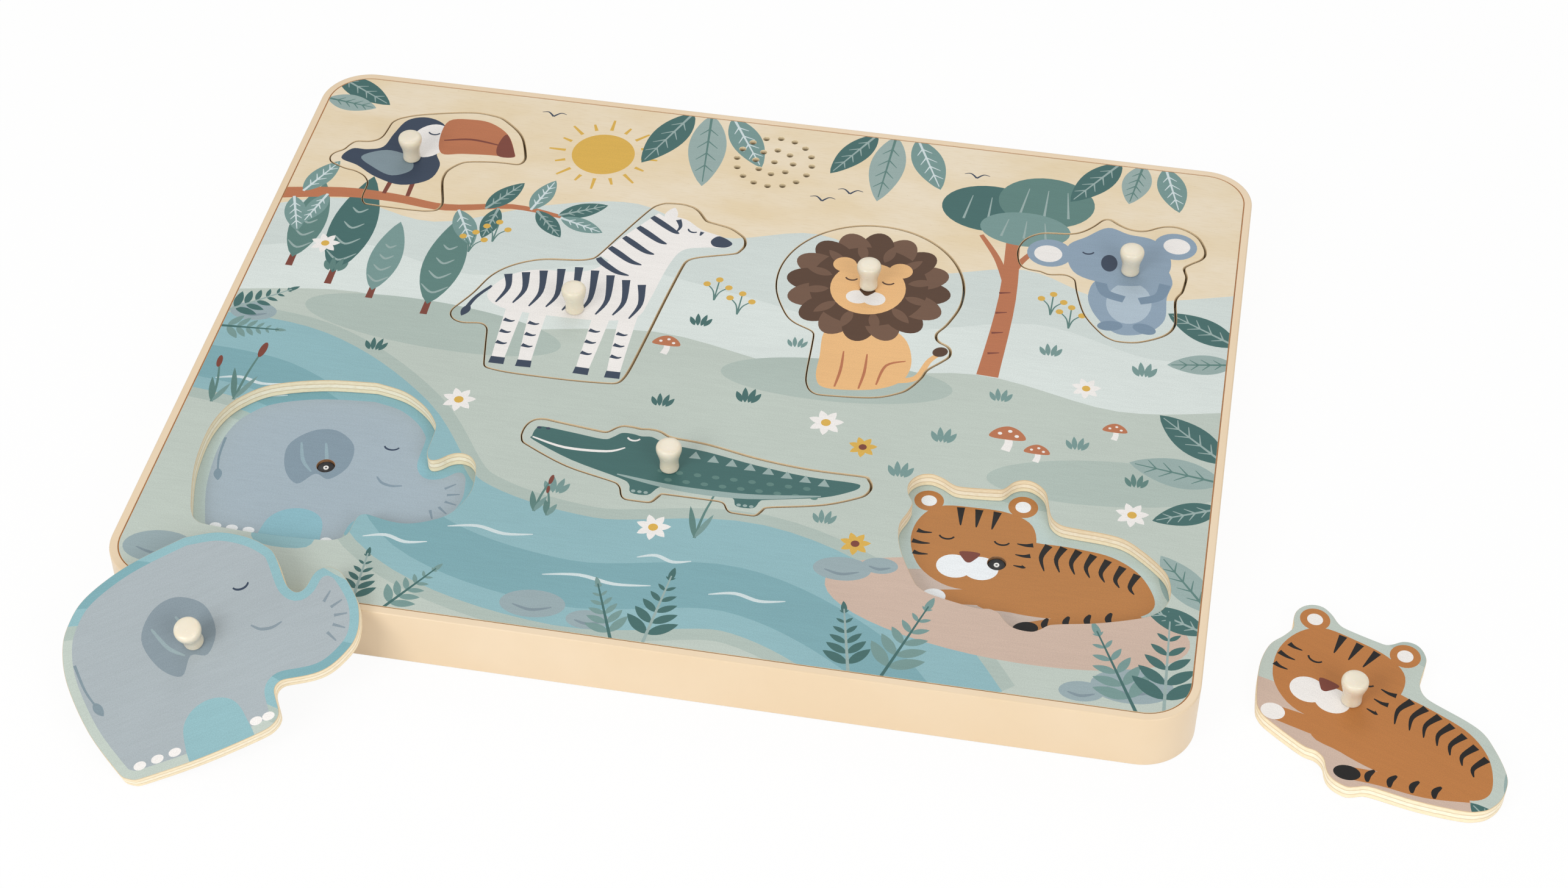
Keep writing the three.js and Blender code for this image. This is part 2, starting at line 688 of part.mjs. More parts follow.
// Circuit board on its posts, with the sound chip under a round blob
const circuitLow = trayFloor + circuitPostHeight + seatGap;
const circuitTop = circuitLow + circuitThickness;
addPiece(
  puzzle,
  "circuit_board",
  block(circuitWidth, circuitDepth, circuitThickness, 0, circuitRise, circuitLow),
  looks.circuitGreen,
);
const chipProfile = [
  [0, 0],
  [chipRadius, 0],
  [0.85 * chipRadius, 0.6 * chipHeight],
  [0.5 * chipRadius, 0.9 * chipHeight],
  [0, chipHeight],
];
addPiece(
  puzzle,
  "sound_chip",
  turned(chipProfile, 0, circuitRise, circuitTop + seatGap, sides.small),
  looks.blackPlastic,
);

// Batteries lie side by side and point opposite ways, each between a spring and a contact
const batteryAxisZ = trayFloor + batteryPlay + batteryRadius;
const batteryProfile = [
  [0, 0],
  [batteryRadius, 0],
  [batteryRadius, batteryLength],
  [batteryNubRadius, batteryLength],
  [batteryNubRadius, batteryLength + batteryNubHeight],
  [0, batteryLength + batteryNubHeight],
];

function springPoints() {
  const points = [];
  const steps = springTurns * springStepsPerTurn;
  const rise = springLength - 2 * springWire;
  for (let step = 0; step <= steps; step += 1) {
    const angle = (2 * Math.PI * springTurns * step) / steps;
    const height = springWire + (rise * step) / steps;
    points.push([springRadius * Math.cos(angle), springRadius * Math.sin(angle), height]);
  }
  return points;
}

[1, -1].forEach((side, index) => {
  const cell = new THREE.Group();
  const label = ["right", "left"][index];
  const low = -boxLength / 2 + looseGap / 2;
  const contactLow = boxLength / 2 - looseGap / 2 - contactThickness;
  cell.position.set(0, boxY + side * (batteryRadius + batteryPlay / 2), batteryAxisZ);
  cell.rotation.y = (side * Math.PI) / 2;
  addPiece(
    cell,
    `battery_spring_${label}`,
    tube(springPoints(), springWire, springTurns * springStepsPerTurn, sides.spring).translate(0, 0, low),
    looks.steel,
  );
  addPiece(
    cell,
    `battery_${label}`,
    turned(batteryProfile, 0, 0, low + springLength + looseGap / 2),
    looks.batteryJacket,
  );
  addPiece(
    cell,
    `battery_contact_${label}`,
    block(contactHeight, contactWidth, contactThickness, 0, 0, contactLow),
    looks.steel,
  );
  puzzle.add(cell);
});

// Battery door: closes the box from below, hooks in with a tab and is held by a captive screw
function makeDoor() {
  const thickness = trayFloor - doorRecess;
  const headDepth = doorRecess + doorScrewHeadHeight + 2 * seatGap + cutMargin;
  const earLength = doorEarLength + doorGap;
  const plate = block(boxLength - 2 * doorGap, boxWidth - 2 * doorGap, thickness, 0, boxY, doorRecess);
  const earCentre = earX - doorGap / 2;
  const ear = block(earLength, doorEarWidth, thickness, earCentre, boxY, doorRecess);
  const padLength = doorEarLength - 2 * doorGap;
  const pad = block(padLength, doorEarWidth, doorEarHeight, earX, boxY, trayFloor - seatGap);
  const tabWhole = tabLength + 2 * doorGap;
  const tabX = doorEnd + doorGap - tabWhole / 2;
  const tab = block(tabWhole, tabWidth, tabHeight, tabX, boxY, trayFloor + seatGap);
  const rootHeight = trayFloor + tabHeight - doorRecess;
  const root = block(doorGap, tabWidth, rootHeight, doorEnd + doorGap / 2, boxY, doorRecess + seatGap);
  const door = joinAll(solidOf(plate), [ear, pad, root, tab]);
  return cutAll(door, [
    rod(doorScrewHeadRadius + screwGap, headDepth, earX, boxY, -cutMargin, sides.doorHead),
    rod(doorScrewRadius + screwGap, trayHeight, earX, boxY, 0, sides.small),
  ]);
}

addPiece(puzzle, "battery_door", geometryOf(makeDoor()), looks.peachPlastic);

function screwProfile(headRadius, headHeight, shankRadius, length) {
  return [
    [0, 0],
    [0.8 * headRadius, 0],
    [headRadius, 0.35 * headHeight],
    [headRadius, headHeight],
    [shankRadius, headHeight],
    [shankRadius, headHeight + length - shankRadius],
    [0, headHeight + length],
  ];
}

const doorScrewLow = doorRecess + seatGap;
const doorScrewLength = bossBottom + doorScrewReach - doorScrewLow - doorScrewHeadHeight - seatGap;
addPiece(
  puzzle,
  "battery_door_screw",
  turned(
    screwProfile(doorScrewHeadRadius, doorScrewHeadHeight, doorScrewRadius, doorScrewLength),
    earX,
    boxY,
    doorScrewLow,
    sides.small,
  ),
  looks.steel,
);

// Case screws rise from the underside through the posts and the sheet into the board
const screwLength = boardBottom + screwBite - screwSink - screwHeadHeight;
screwPlaces.forEach(([x, y], index) => {
  const profile = screwProfile(screwHeadRadius, screwHeadHeight, screwRadius, screwLength);
  addPiece(puzzle, `case_screw_${index + 1}`, turned(profile, x, y, screwSink, sides.small), looks.steel);
});

// Slide switch: the body stands on the floor, the slider shows in a slot in the underside
function makeSwitchBody() {
  const body = solidOf(block(switchLength, switchWidth, switchHeight, switchX, boxY, trayFloor + seatGap));
  const roomWidth = sliderWidth + 2 * sliderGap;
  const roomHeight = sliderHeight + sliderGap + cutMargin;
  const room = block(switchRoom, roomWidth, roomHeight, switchX, boxY, trayFloor + sliderGap - cutMargin);
  return cutAll(body, [room]);
}

addPiece(puzzle, "switch_body", geometryOf(makeSwitchBody()), looks.blackPlastic);
const sliderX = switchX - switchTravel / 2;
const slider = joinAll(
  solidOf(block(sliderLength, sliderWidth, sliderHeight - sliderGap, sliderX, boxY, trayFloor + seatGap)),
  [block(gripLength, gripWidth, trayFloor + 2 * seatGap - gripRecess, sliderX, boxY, gripRecess)],
);
addPiece(puzzle, "switch_slider", geometryOf(slider), looks.blackPlastic);

// Leads lie on the tray floor between the pieces that they join
const leadLow = trayFloor + leadRadius + leadGap;
const padZ = circuitLow + circuitThickness / 2;
const circuitLeft = -circuitWidth / 2 - leadRadius;
const circuitRight = circuitWidth / 2 + leadRadius;
const circuitFront = circuitRise - circuitDepth / 2 - leadRadius;
const circuitBack = circuitRise + circuitDepth / 2 + leadRadius;
const leadRoutes = {
  toucan: { by: [[-80, 60], [-44, 38]], pad: [circuitLeft, circuitRise + padReach] },
  zebra: { by: [[-34, 17]], pad: [circuitLeft, circuitRise - padReach] },
  lion: { by: [[31, 36]], pad: [circuitRight, circuitRise + padReach] },
  koala: { by: [[80, 42], [50, 22]], pad: [circuitRight, circuitRise - padReach] },
  crocodile: { by: [[-3, -20]], pad: [0, circuitFront] },
  elephant: { by: [[-70, -35], [-32, -8]], pad: [-padSpread, circuitFront] },
  tiger: { by: [[60, -40], [26, -10]], pad: [padSpread, circuitFront] },
};

// A lead's curve never sinks into the floor that it lies on
function leadTube(points) {
  const curve = new THREE.CatmullRomCurve3(points.map((point) => new THREE.Vector3(...point)));
  const steps = stepsPerPoint * points.length;
  const laid = curve.getPoints(steps).map(({ x, y, z }) => [x, y, Math.max(z, leadLow)]);
  return tube(laid, leadRadius, steps, sides.lead);
}

function sensorLead(name) {
  const [x, y] = knobPlaces[name];
  const { by, pad } = leadRoutes[name];
  const aim = new THREE.Vector2(by[0][0] - x, by[0][1] - y).normalize();
  const start = sensorBottom - leadGap;
  const points = [
    [x, y, start],
    [x, y, start - leadRadius],
    [x + leadBend * aim.x, y + leadBend * aim.y, leadLow],
    ...by.map(([byX, byY]) => [byX, byY, leadLow]),
    [...pad, padZ],
  ];
  return leadTube(points);
}

for (const name of Object.keys(leadRoutes)) {
  addPiece(puzzle, `${name}_sensor_lead`, sensorLead(name), looks.redLead);
}

const speakerPadZ = basketLow + speakerWall;
const speakerLead = [
  [0, grilleY - magnetRadius - 2 * leadGap - leadRadius, speakerPadZ - leadDrop],
  [0, grilleY - magnetRadius - leadBend, leadLow + leadRadius],
  [leadDrop, (grilleY + circuitBack) / 2, leadLow],
  [0, circuitBack, padZ],
];
const batteryLead = [
  [-boxLength / 3, boxY + boxOuterWidth / 2 + leadRadius, batteryAxisZ],
  [-boxLength / 3, boxY + boxOuterWidth / 2 + leadBend, leadLow],
  [-18, -35, leadLow],
  [-padPitch, circuitFront - leadRun, leadLow],
  [-padPitch, circuitFront, padZ],
];
const switchLead = [
  [switchX, boxY + switchWidth / 2 + leadRadius, trayFloor + switchHeight / 2],
  [switchX, boxY + switchWidth / 2 + leadBend, leadLow],
  [30, -40, leadLow],
  [padPitch, circuitFront - leadRun, leadLow],
  [padPitch, circuitFront, padZ],
];
addPiece(puzzle, "speaker_lead", leadTube(speakerLead), looks.redLead);
addPiece(puzzle, "battery_lead", leadTube(batteryLead), looks.redLead);
addPiece(puzzle, "switch_lead", leadTube(switchLead), looks.redLead);

export default puzzle;
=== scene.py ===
import json
import random
from functools import partial
from math import atan2, cos, dist, pi, radians, sin

import bmesh
import bpy
from mathutils import Matrix, Vector
from mathutils.geometry import delaunay_2d_cdt

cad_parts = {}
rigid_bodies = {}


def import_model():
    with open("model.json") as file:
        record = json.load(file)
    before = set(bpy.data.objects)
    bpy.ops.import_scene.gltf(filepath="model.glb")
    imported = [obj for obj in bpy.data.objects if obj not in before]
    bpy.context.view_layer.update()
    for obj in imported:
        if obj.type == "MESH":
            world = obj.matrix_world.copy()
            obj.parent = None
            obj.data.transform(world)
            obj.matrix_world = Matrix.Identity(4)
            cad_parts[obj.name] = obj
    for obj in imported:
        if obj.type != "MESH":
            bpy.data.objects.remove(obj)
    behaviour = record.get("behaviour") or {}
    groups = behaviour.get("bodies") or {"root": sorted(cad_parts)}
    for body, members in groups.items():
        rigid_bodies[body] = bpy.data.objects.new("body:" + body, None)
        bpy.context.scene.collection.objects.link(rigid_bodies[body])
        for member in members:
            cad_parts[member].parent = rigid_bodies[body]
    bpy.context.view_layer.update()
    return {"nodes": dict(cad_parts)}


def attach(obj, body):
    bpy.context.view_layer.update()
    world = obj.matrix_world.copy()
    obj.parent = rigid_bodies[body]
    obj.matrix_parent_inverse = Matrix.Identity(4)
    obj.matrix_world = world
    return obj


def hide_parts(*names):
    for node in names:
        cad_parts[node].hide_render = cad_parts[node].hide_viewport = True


for leftOver in list(bpy.data.objects):
    bpy.data.objects.remove(leftOver)
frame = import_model()
nodes = frame["nodes"]
scene = bpy.context.scene
mm = 0.001
perMm = 1 / mm  # a noise scale of perMm / 3 gives grains 3 mm wide
perMicron = 1000 * perMm
chance = random.Random(11)

# Where things are, in millimetres in the part's frame
layout = {
    "boardBottom": 13.8,
    "boardThick": 4.5,
    "sheetBottom": 11.7,
    "sheetThick": 2.0,
    "edgeBreak": 0.09,  # the sanded edge of the plywood
    "sheetBreak": 0.08,
    "outlineStep": 0.8,  # between the points of a sawn outline
    "flatWithin": 0.01,  # corners this near a solid's top belong to its upper face
    "drilledCorners": 12,  # a loop in the board with fewer corners is a drilled hole
    "boxCorners": 6,  # a loop in the sheet with no more corners is straight-sided
    "roundReach": 20,  # and a larger one than this isn't round either
    "knobs": {
        "toucan": (-112.8, 75.0),
        "zebra": (-45.8, 14.3),
        "lion": (38.8, 41.0),
        "koala": (115.8, 62.2),
        "crocodile": (-4.2, -46.2),
        "elephant": (-101.7, -59.0),
        "tiger": (91.0, -61.8),
    },
    "seatShift": (-0.16, -0.08, 0),  # a seated animal lies to the front left, within the saw cut
    "elephantTurn": 31.9,
    "tigerTurn": -25.1,
    "tigerPlace": (190.3, -86.0, 0.0),
}
animals = list(layout["knobs"])


# Colour and material helpers
def linear(hexColour):
    values = [int(hexColour[i : i + 2], 16) / 255 for i in (1, 3, 5)]
    return [v / 12.92 if v <= 0.04045 else ((v + 0.055) / 1.055) ** 2.4 for v in values] + [1.0]


# adds a node: each input takes a number, a hex colour or another node's output
# (a MapRange takes input 0 from the range 1 to 2 into the range 3 to 4, a Mix goes from colour 6 to 7)
def addNode(tree, kind, inputs, output=0, **settings):
    node = tree.nodes.new("ShaderNode" + kind)
    for key, value in settings.items():
        setattr(node, key, value)
    for key, value in inputs.items():
        if isinstance(value, bpy.types.NodeSocket):
            tree.links.new(value, node.inputs[key])
        else:
            node.inputs[key].default_value = linear(value) if isinstance(value, str) else value
    return node.outputs[output]


# starts a material, and gives the call that adds its nodes, its shader and the place on its piece
def newMaterial(name, roughness, ior=1.5, metallic=0.0):
    material = bpy.data.materials.new(name)
    material.use_nodes = True
    shader = material.node_tree.nodes["Principled BSDF"]
    shader.inputs["Roughness"].default_value = roughness
    if metallic:
        shader.inputs["Metallic"].default_value = metallic
    else:
        shader.inputs["IOR"].default_value = ior
    add = partial(addNode, material.node_tree)
    return material, add, shader, add("TexCoord", {}, "Object")


# lays a second tone where a grain of some width in mm, drawn out along the axes, is strong
def layTone(add, place, colour, tone, width, stretch=(1, 1, 1), start=0.35, end=0.65, most=1.0, detail=3):
    drawnOut = add("Mapping", {"Vector": place, "Scale": [1 / s for s in stretch]})
    grain = add("TexNoise", {"Vector": drawnOut, "Scale": perMm / width, "Detail": detail})
    amount = add("MapRange", {0: grain, 1: start, 2: end, 4: most})
    return add("Mix", {0: amount, 6: colour, 7: tone}, 2, data_type="RGBA"), grain


# lets a grain vary the sheen and stand out as fine relief, its depth in mm
def layGrain(add, grain, smoothest, roughest, strength, depth):
    sheen = add("MapRange", {0: grain, 1: 0.3, 2: 0.7, 3: smoothest, 4: roughest})
    relief = add("Bump", {"Height": grain, "Strength": strength, "Distance": depth * mm})
    return {"roughness": sheen, "normal": relief}


def finishSurface(material, shader, **outputs):
    names = {"colour": "Base Color", "roughness": "Roughness", "normal": "Normal"}
    for name, output in outputs.items():
        material.node_tree.links.new(output, shader.inputs[names[name]])
    return material


# Moulded ABS: one even peach colour with a satin sheen and a very fine spark-eroded skin
def peachAbs():
    material, add, shader, place = newMaterial("moulded peach ABS", 0.34, 1.53)
    colour = layTone(add, place, "#E6D0B1", "#E3CBA9", 45)[0]
    skin = add("TexNoise", {"Vector": place, "Scale": perMm / 0.35, "Detail": 3})
    return finishSurface(material, shader, colour=colour, **layGrain(add, skin, 0.3, 0.4, 0.6, 0.012))


# Rotary-cut birch, sanded and matt lacquered: pale, with faint long grain, flecks and warm patches
def birchFace():
    material, add, shader, place = newMaterial("sanded birch veneer", 0.5)
    patched = layTone(add, place, "#E6D7BD", "#E1CDA9", 14, (2.2, 1, 1), 0.36, 0.66)[0]
    streaked, grain = layTone(add, place, patched, "#D4BE96", 0.5, (9, 1, 1), 0.48, 0.72, 0.3)
    flecked = layTone(add, place, streaked, "#BA9F78", 0.4, (3, 1, 1), 0.72, 0.8, 0.35, 1)[0]
    relief = add("Bump", {"Height": grain, "Strength": 0.5, "Distance": 0.02 * mm})
    return finishSurface(material, shader, colour=flecked, normal=relief)


# Ink printed on the veneer: flat matt colours with a fine even speckle and a trace of the grain
def printedInk():
    material, add, shader, place = newMaterial("matt ink on veneer", 0.5)
    shader.inputs["Specular IOR Level"].default_value = 0.25
    ink = add("Attribute", {}, "Color", attribute_name="ink")
    alongGrain = add("Mapping", {"Vector": place, "Scale": (1 / 12, 1, 1)})
    grain = add("TexNoise", {"Vector": alongGrain, "Scale": perMm / 0.6, "Detail": 3})
    # real print grain is about 0.1 mm, drawn coarser so that it shows
    speckle = add("TexNoise", {"Vector": place, "Scale": perMm / 0.28, "Detail": 2})
    alongPatch = add("Mapping", {"Vector": place, "Scale": (1 / 2, 1, 1)})
    patches = add("TexNoise", {"Vector": alongPatch, "Scale": perMm / 30, "Detail": 2})
    tone = add("MapRange", {0: grain, 1: 0.3, 2: 0.7, 3: 0.975, 4: 1.025})
    for pattern, depth in ((speckle, 0.09), (patches, 0.025)):
        swing = add("MapRange", {0: pattern, 1: 0.3, 2: 0.7, 3: -depth, 4: depth})
        tone = add("Math", {0: tone, 1: swing})
    colour = add("HueSaturation", {"Value": tone, "Color": ink})
    return finishSurface(material, shader, colour=colour, **layGrain(add, speckle, 0.46, 0.58, 0.5, 0.012))


# Sawn plywood edge: three cream plies with a thin brown glue line between them
def plyEdge():
    plyThick = 1.5
    material, add, shader, place = newMaterial("sawn birch ply edge", 0.62)
    height = add("SeparateXYZ", {0: place}, 2)
    wobble = add("TexNoise", {"Vector": place, "Scale": perMm / 5, "Detail": 3})
    wobble = add("MapRange", {0: wobble, 1: 0.3, 2: 0.7, 3: 0.67 * mm, 4: 0.83 * mm})
    plies = add("Math", {0: height, 1: wobble})
    plies = add("Math", {0: plies, 1: perMm / plyThick}, operation="MULTIPLY")
    wave = add("Math", {0: plies, 1: 1.0}, operation="PINGPONG")
    cross = add("MapRange", {0: wave, 1: 0.46, 2: 0.54})
    colour = add("Mix", {0: cross, 6: "#FDF3DC", 7: "#F8E9C9"}, 2, data_type="RGBA")
    colour = layTone(add, place, colour, "#E6D2A9", 0.4, (3, 3, 1), 0.45, 0.7, 0.45)[0]
    fromLine = add("Math", {0: wave, 1: -0.5})
    fromLine = add("Math", {0: fromLine}, operation="ABSOLUTE")
    plyGlueAndGapShade = add("MapRange", {0: fromLine, 1: 0.02, 2: 0.15, 3: 0.6, 4: 0})
    colour = add("Mix", {0: plyGlueAndGapShade, 6: colour, 7: "#BC9A66"}, 2, data_type="RGBA")
    # painted shade: the upper edge is browned a little, for the shade just inside the narrow saw cuts
    upperEdgeShade = add("MapRange", {0: height, 1: 4.1 * mm, 2: 4.45 * mm, 4: 0.5})
    colour = add("Mix", {0: upperEdgeShade, 6: colour, 7: "#C9A878"}, 2, data_type="RGBA")
    # painted shade: the edges brown where a saw cut is narrow, as ambient occlusion finds them
    narrowCutShade = add("AmbientOcclusion", {"Distance": 1.0 * mm}, "AO", samples=6)
    narrowCutShade = add("MapRange", {0: narrowCutShade, 1: 0.2, 2: 0.6})
    colour = add("Mix", {0: narrowCutShade, 6: "#8C6C47", 7: colour}, 2, data_type="RGBA")
    acrossPly = add("Mapping", {"Vector": place, "Scale": (1, 1, 1 / 9)})
    saw = add("TexNoise", {"Vector": acrossPly, "Scale": perMm / 0.35, "Detail": 2})
    relief = add("Bump", {"Height": saw, "Strength": 0.7, "Distance": 0.05 * mm})
    return finishSurface(material, shader, colour=colour, normal=relief)


# Drilled plywood: the wall of a bore is cream near the face and browns into shade with depth
def drilledEdge():
    material, add, shader, place = newMaterial("drilled birch ply", 0.7)
    height = add("SeparateXYZ", {0: place}, 2)
    lit = add("MapRange", {0: height, 1: 2.1 * mm, 2: 4.0 * mm})
    shaded = add("Mix", {0: lit, 6: "#5A4128", 7: "#EBDAB6"}, 2, data_type="RGBA")
    torn, fibre = layTone(add, place, shaded, "#9A7C54", 0.35, (1, 1, 2), 0.5, 0.75, 0.3, 2)
    relief = add("Bump", {"Height": fibre, "Strength": 0.5, "Distance": 0.03 * mm})
    return finishSurface(material, shader, colour=torn, normal=relief)


# Wood-fibre board: brown felted fibre at its cut edges and back
def hardboard():
    material, add, shader, place = newMaterial("brown hardboard", 0.75)
    colour, fibre = layTone(add, place, "#7E5839", "#A67C55", 0.5, (3, 3, 1), detail=4)
    relief = add("Bump", {"Height": fibre, "Strength": 0.7, "Distance": 0.05 * mm})
    return finishSurface(material, shader, colour=colour, normal=relief)


# Glossy moulded plastic knob: warm ivory that lets a little light in, with soft clear highlights
def ivoryPlastic():
    material, add, shader, place = newMaterial("glossy ivory plastic", 0.24, 1.49)
    shader.inputs["Subsurface Weight"].default_value = 0.25
    shader.inputs["Subsurface Radius"].default_value = (1.0, 0.7, 0.4)
    shader.inputs["Subsurface Scale"].default_value = 2.0 * mm
    colour = layTone(add, place, "#E7DECA", "#E1D6BF", 7)[0]
    handling = add("TexNoise", {"Vector": place, "Scale": perMm / 1.4, "Detail": 3})
    return finishSurface(material, shader, colour=colour, **layGrain(add, handling, 0.2, 0.29, 0.4, 0.01))


# Painted shade: a warm amber line for the shaded gap round the board, smooth and a little glossy
def paintedGapShade():
    material, add, shader, place = newMaterial("painted amber gap shade", 0.35, 1.48)
    return finishSurface(material, shader, colour=layTone(add, place, "#C07A34", "#AB6624", 4)[0])


# Small parts inside and underneath: name, two tones, grain width in mm, roughness, metallic
smallParts = {
    "black_plastic": ("black moulded plastic", "#1B1B1D", "#2A2A2C", 0.6, 0.45, 0.0),
    "steel": ("zinc-plated steel", "#A9ABAF", "#8E9095", 1.2, 0.32, 1.0),
    "paper_cone": ("pressed paper cone", "#2B2826", "#3A3532", 0.5, 0.85, 0.0),
    "circuit_green": ("solder mask on fibreglass", "#1F5B37", "#2A6B43", 2.5, 0.35, 0.0),
    "battery_jacket": ("shrunk battery sleeve", "#2F6B4A", "#3B7A57", 6.0, 0.3, 0.0),
    "lead_sleeve": ("soft PVC sleeve", "#A23A2E", "#8E3028", 1.5, 0.5, 0.0),
}


def smallMaterial(name, first, second, grainWidth, roughness, metallic):
    material, add, shader, place = newMaterial(name, roughness, 1.5, metallic)
    colour, grain = layTone(add, place, first, second, grainWidth)
    wear = 0.06
    worn = layGrain(add, grain, roughness - wear, roughness + wear, 0.5, 0.01)
    return finishSurface(material, shader, colour=colour, **worn)


# Moulded clear epoxy dome of a light sensor: pale rim round a darker middle
def sensorLens():
    material, add, shader, place = newMaterial("cast epoxy lens", 0.12, 1.54)
    flat = add("VectorMath", {0: place, 1: (1, 1, 0)}, operation="MULTIPLY")
    fromMiddle = add("VectorMath", {0: flat}, "Value", operation="LENGTH")
    rim = add("MapRange", {0: fromMiddle, 1: 0.28 * mm, 2: 0.36 * mm})
    colour = add("Mix", {0: rim, 6: "#4E5054", 7: "#E9E7E2"}, 2, data_type="RGBA")
    return finishSurface(material, shader, colour=colour)


materials = {"peach_plastic": peachAbs(), "ivory_plastic": ivoryPlastic()}
for slotName, settings in smallParts.items():
    materials[slotName] = smallMaterial(*settings)
birch = birchFace()
inked = printedInk()
sawnEdge = plyEdge()
boredEdge = drilledEdge()
gapShadeSurface = paintedGapShade()
fibreboard = hardboard()
lensEpoxy = sensorLens()
print("materials made:", len(bpy.data.materials))


# Outlines: flat loops in millimetres, always turning to the left
def turnedLeft(points):
    area = sum(a[0] * b[1] - b[0] * a[1] for a, b in zip(points, points[1:] + points[:1]))
    return points if area > 0 else points[::-1]


def withNeighbours(points):
    return zip(points[-1:] + points[:-1], points, points[1:] + points[:1])


def spline(points, closed=True, steps=5):
    # a smooth curve through the points
    run = [points[-1], *points, *points[:2]] if closed else [points[0], *points, points[-1]]
    made = []
    for four in zip(run, run[1:], run[2:], run[3:]):
        for step in range(steps):
            t = step / steps
            made.append(tuple(
                b + 0.5 * t * (c - a + t * (2 * a - 5 * b + 4 * c - d + t * (3 * (b - c) + d - a)))
                for a, b, c, d in zip(*four)))
    return made if closed else made + [tuple(points[-1])]


def evenly(points, spacing):
    # the same loop with points at even steps, and its tightest corners eased
    ends = points[1:] + points[:1]
    lengths = [dist(a, b) for a, b in zip(points, ends)]
    count = round(sum(lengths) / spacing)
    step = sum(lengths) / count
    made, passed, wanted = [], 0.0, 0.0
    for a, b, length in zip(points, ends, lengths):
        while wanted < passed + length and len(made) < count:
            t = (wanted - passed) / length
            made.append((a[0] + t * (b[0] - a[0]), a[1] + t * (b[1] - a[1])))
            wanted += step
        passed += length
    return [
        tuple(0.25 * a + 0.5 * b + 0.25 * c for a, b, c in zip(*three)) for three in withNeighbours(made)
    ]


def grown(points, distance):
    # the loop moved outwards, or inwards by a distance below zero
    made = []
    for before, p, after in withNeighbours(points):
        along = (Vector(after) - Vector(before)).normalized()
        made.append((p[0] + along.y * distance, p[1] - along.x * distance))
    return made


def pointAt(x, y, turn, away):
    return (x + away * cos(radians(turn)), y + away * sin(radians(turn)))


def turnedAt(x, y, turn, points):
    # points drawn about the origin, turned and moved to a place
    c, s = cos(radians(turn)), sin(radians(turn))
    return [(x + c * px - s * py, y + s * px + c * py) for px, py in points]


def scaledAt(x, y, size, points):
    return [(x + size * px, y + size * py) for px, py in points]


def oval(x, y, rx, ry, turn=0.0, count=28):
    angles = [2 * pi * i / count for i in range(count)]
    return turnedAt(x, y, turn, [(rx * cos(a), ry * sin(a)) for a in angles])


def stroke(points, start, end, bulge=0.0, steps=5):
    # a brush line along the points, from one width to another
    line = spline(points, False, steps)
    left, right = [], []
    for i, p in enumerate(line):
        before, after = Vector(line[max(i - 1, 0)]), Vector(line[min(i + 1, len(line) - 1)])
        along = (after - before).normalized()
        t = i / (len(line) - 1)
        half = 0.5 * (start + (end - start) * t + bulge * sin(pi * t))
        left.append((p[0] - along.y * half, p[1] + along.x * half))
        right.append((p[0] + along.y * half, p[1] - along.x * half))
    return right + left[::-1]


def leafShape(x, y, turn, length, width, count=9):
    tip = 0.02  # half the width of its blunt ends
    lower, upper = [], []
    for i in range(count):
        t = i / (count - 1)
        half = 0.5 * width * sin(pi * t) ** 0.75 * (1.15 - 0.3 * t) if 0 < i < count - 1 else tip
        lower.append((length * t, -half))
        upper.append((length * t, half))
    return turnedAt(x, y, turn, lower + upper[::-1])


def borderOf(faces):
    # the outer edges of some faces, as the next corner after each
    edges = {}
    for face in faces:
        for a, b in zip(face, face[1:] + face[:1]):
            if (b, a) in edges:
                del edges[(b, a)]
            else:
                edges[(a, b)] = True
    return dict(edges.keys())


def topLoops(node, place):
    # the outlines of a solid's upper face, in the piece's own millimetres
    back = place.inverted()
    mesh = nodes[node].data
    local = [back @ v.co for v in mesh.vertices]
    lowest = max(v.z for v in local) - layout["flatWithin"] * mm
    spots, faces = {}, []
    for polygon in mesh.polygons:
        corners = [local[i] for i in polygon.vertices]
        if min(v.z for v in corners) >= lowest:
            keys = [(round(v.x * perMicron), round(v.y * perMicron)) for v in corners]
            spots.update(zip(keys, [(v.x / mm, v.y / mm) for v in corners]))
            faces.append(keys)
    ahead = borderOf(faces)
    loops = []
    while ahead:
        first, at = ahead.popitem()
        loop = [first]
        while at != first:
            loop.append(at)
            at = ahead.pop(at)
        loops.append(turnedLeft([spots[key] for key in loop]))
    return sorted(loops, key=len)


def widest(loops):
    return max(loops, key=lambda loop: max(p[0] for p in loop))


def centreOf(points):
    return Vector((sum(p[0] for p in points), sum(p[1] for p in points))) / len(points)


def reachOf(points):
    middle = centreOf(points)
    return max((Vector(p) - middle).length for p in points)


def sawnCurve(loop):
    return evenly(spline(loop), layout["outlineStep"])


# Where each animal stands: in its pocket, or loose as the photo shows it
def loosePlace(name):
    if name == "tiger":
        turn = Matrix.Rotation(radians(layout["tigerTurn"]), 4, "Z")
        return Matrix.Translation(Vector(layout["tigerPlace"]) * mm) @ turn
    mesh = nodes[name].data
    up = max(mesh.polygons, key=lambda p: p.area if p.normal.z > 0.8 else 0).normal
    tilt = Matrix.Rotation(atan2(-up.y, up.z), 4, "X")
    turn = tilt @ Matrix.Rotation(radians(layout["elephantTurn"]), 4, "Z")
    back = turn.inverted()
    knob = [back @ v.co for v in nodes[name + "_knob"].data.vertices]
    middle = sum(knob, Vector()) / len(knob)
    middle.z = min((back @ v.co).z for v in mesh.vertices)
    return Matrix.Translation(turn @ middle) @ turn


places = {}
for name, spot in layout["knobs"].items():
    places[name] = Matrix.Translation(Vector((*spot, layout["boardBottom"])) * mm)
for name in ("elephant", "tiger"):
    places[name] = loosePlace(name)

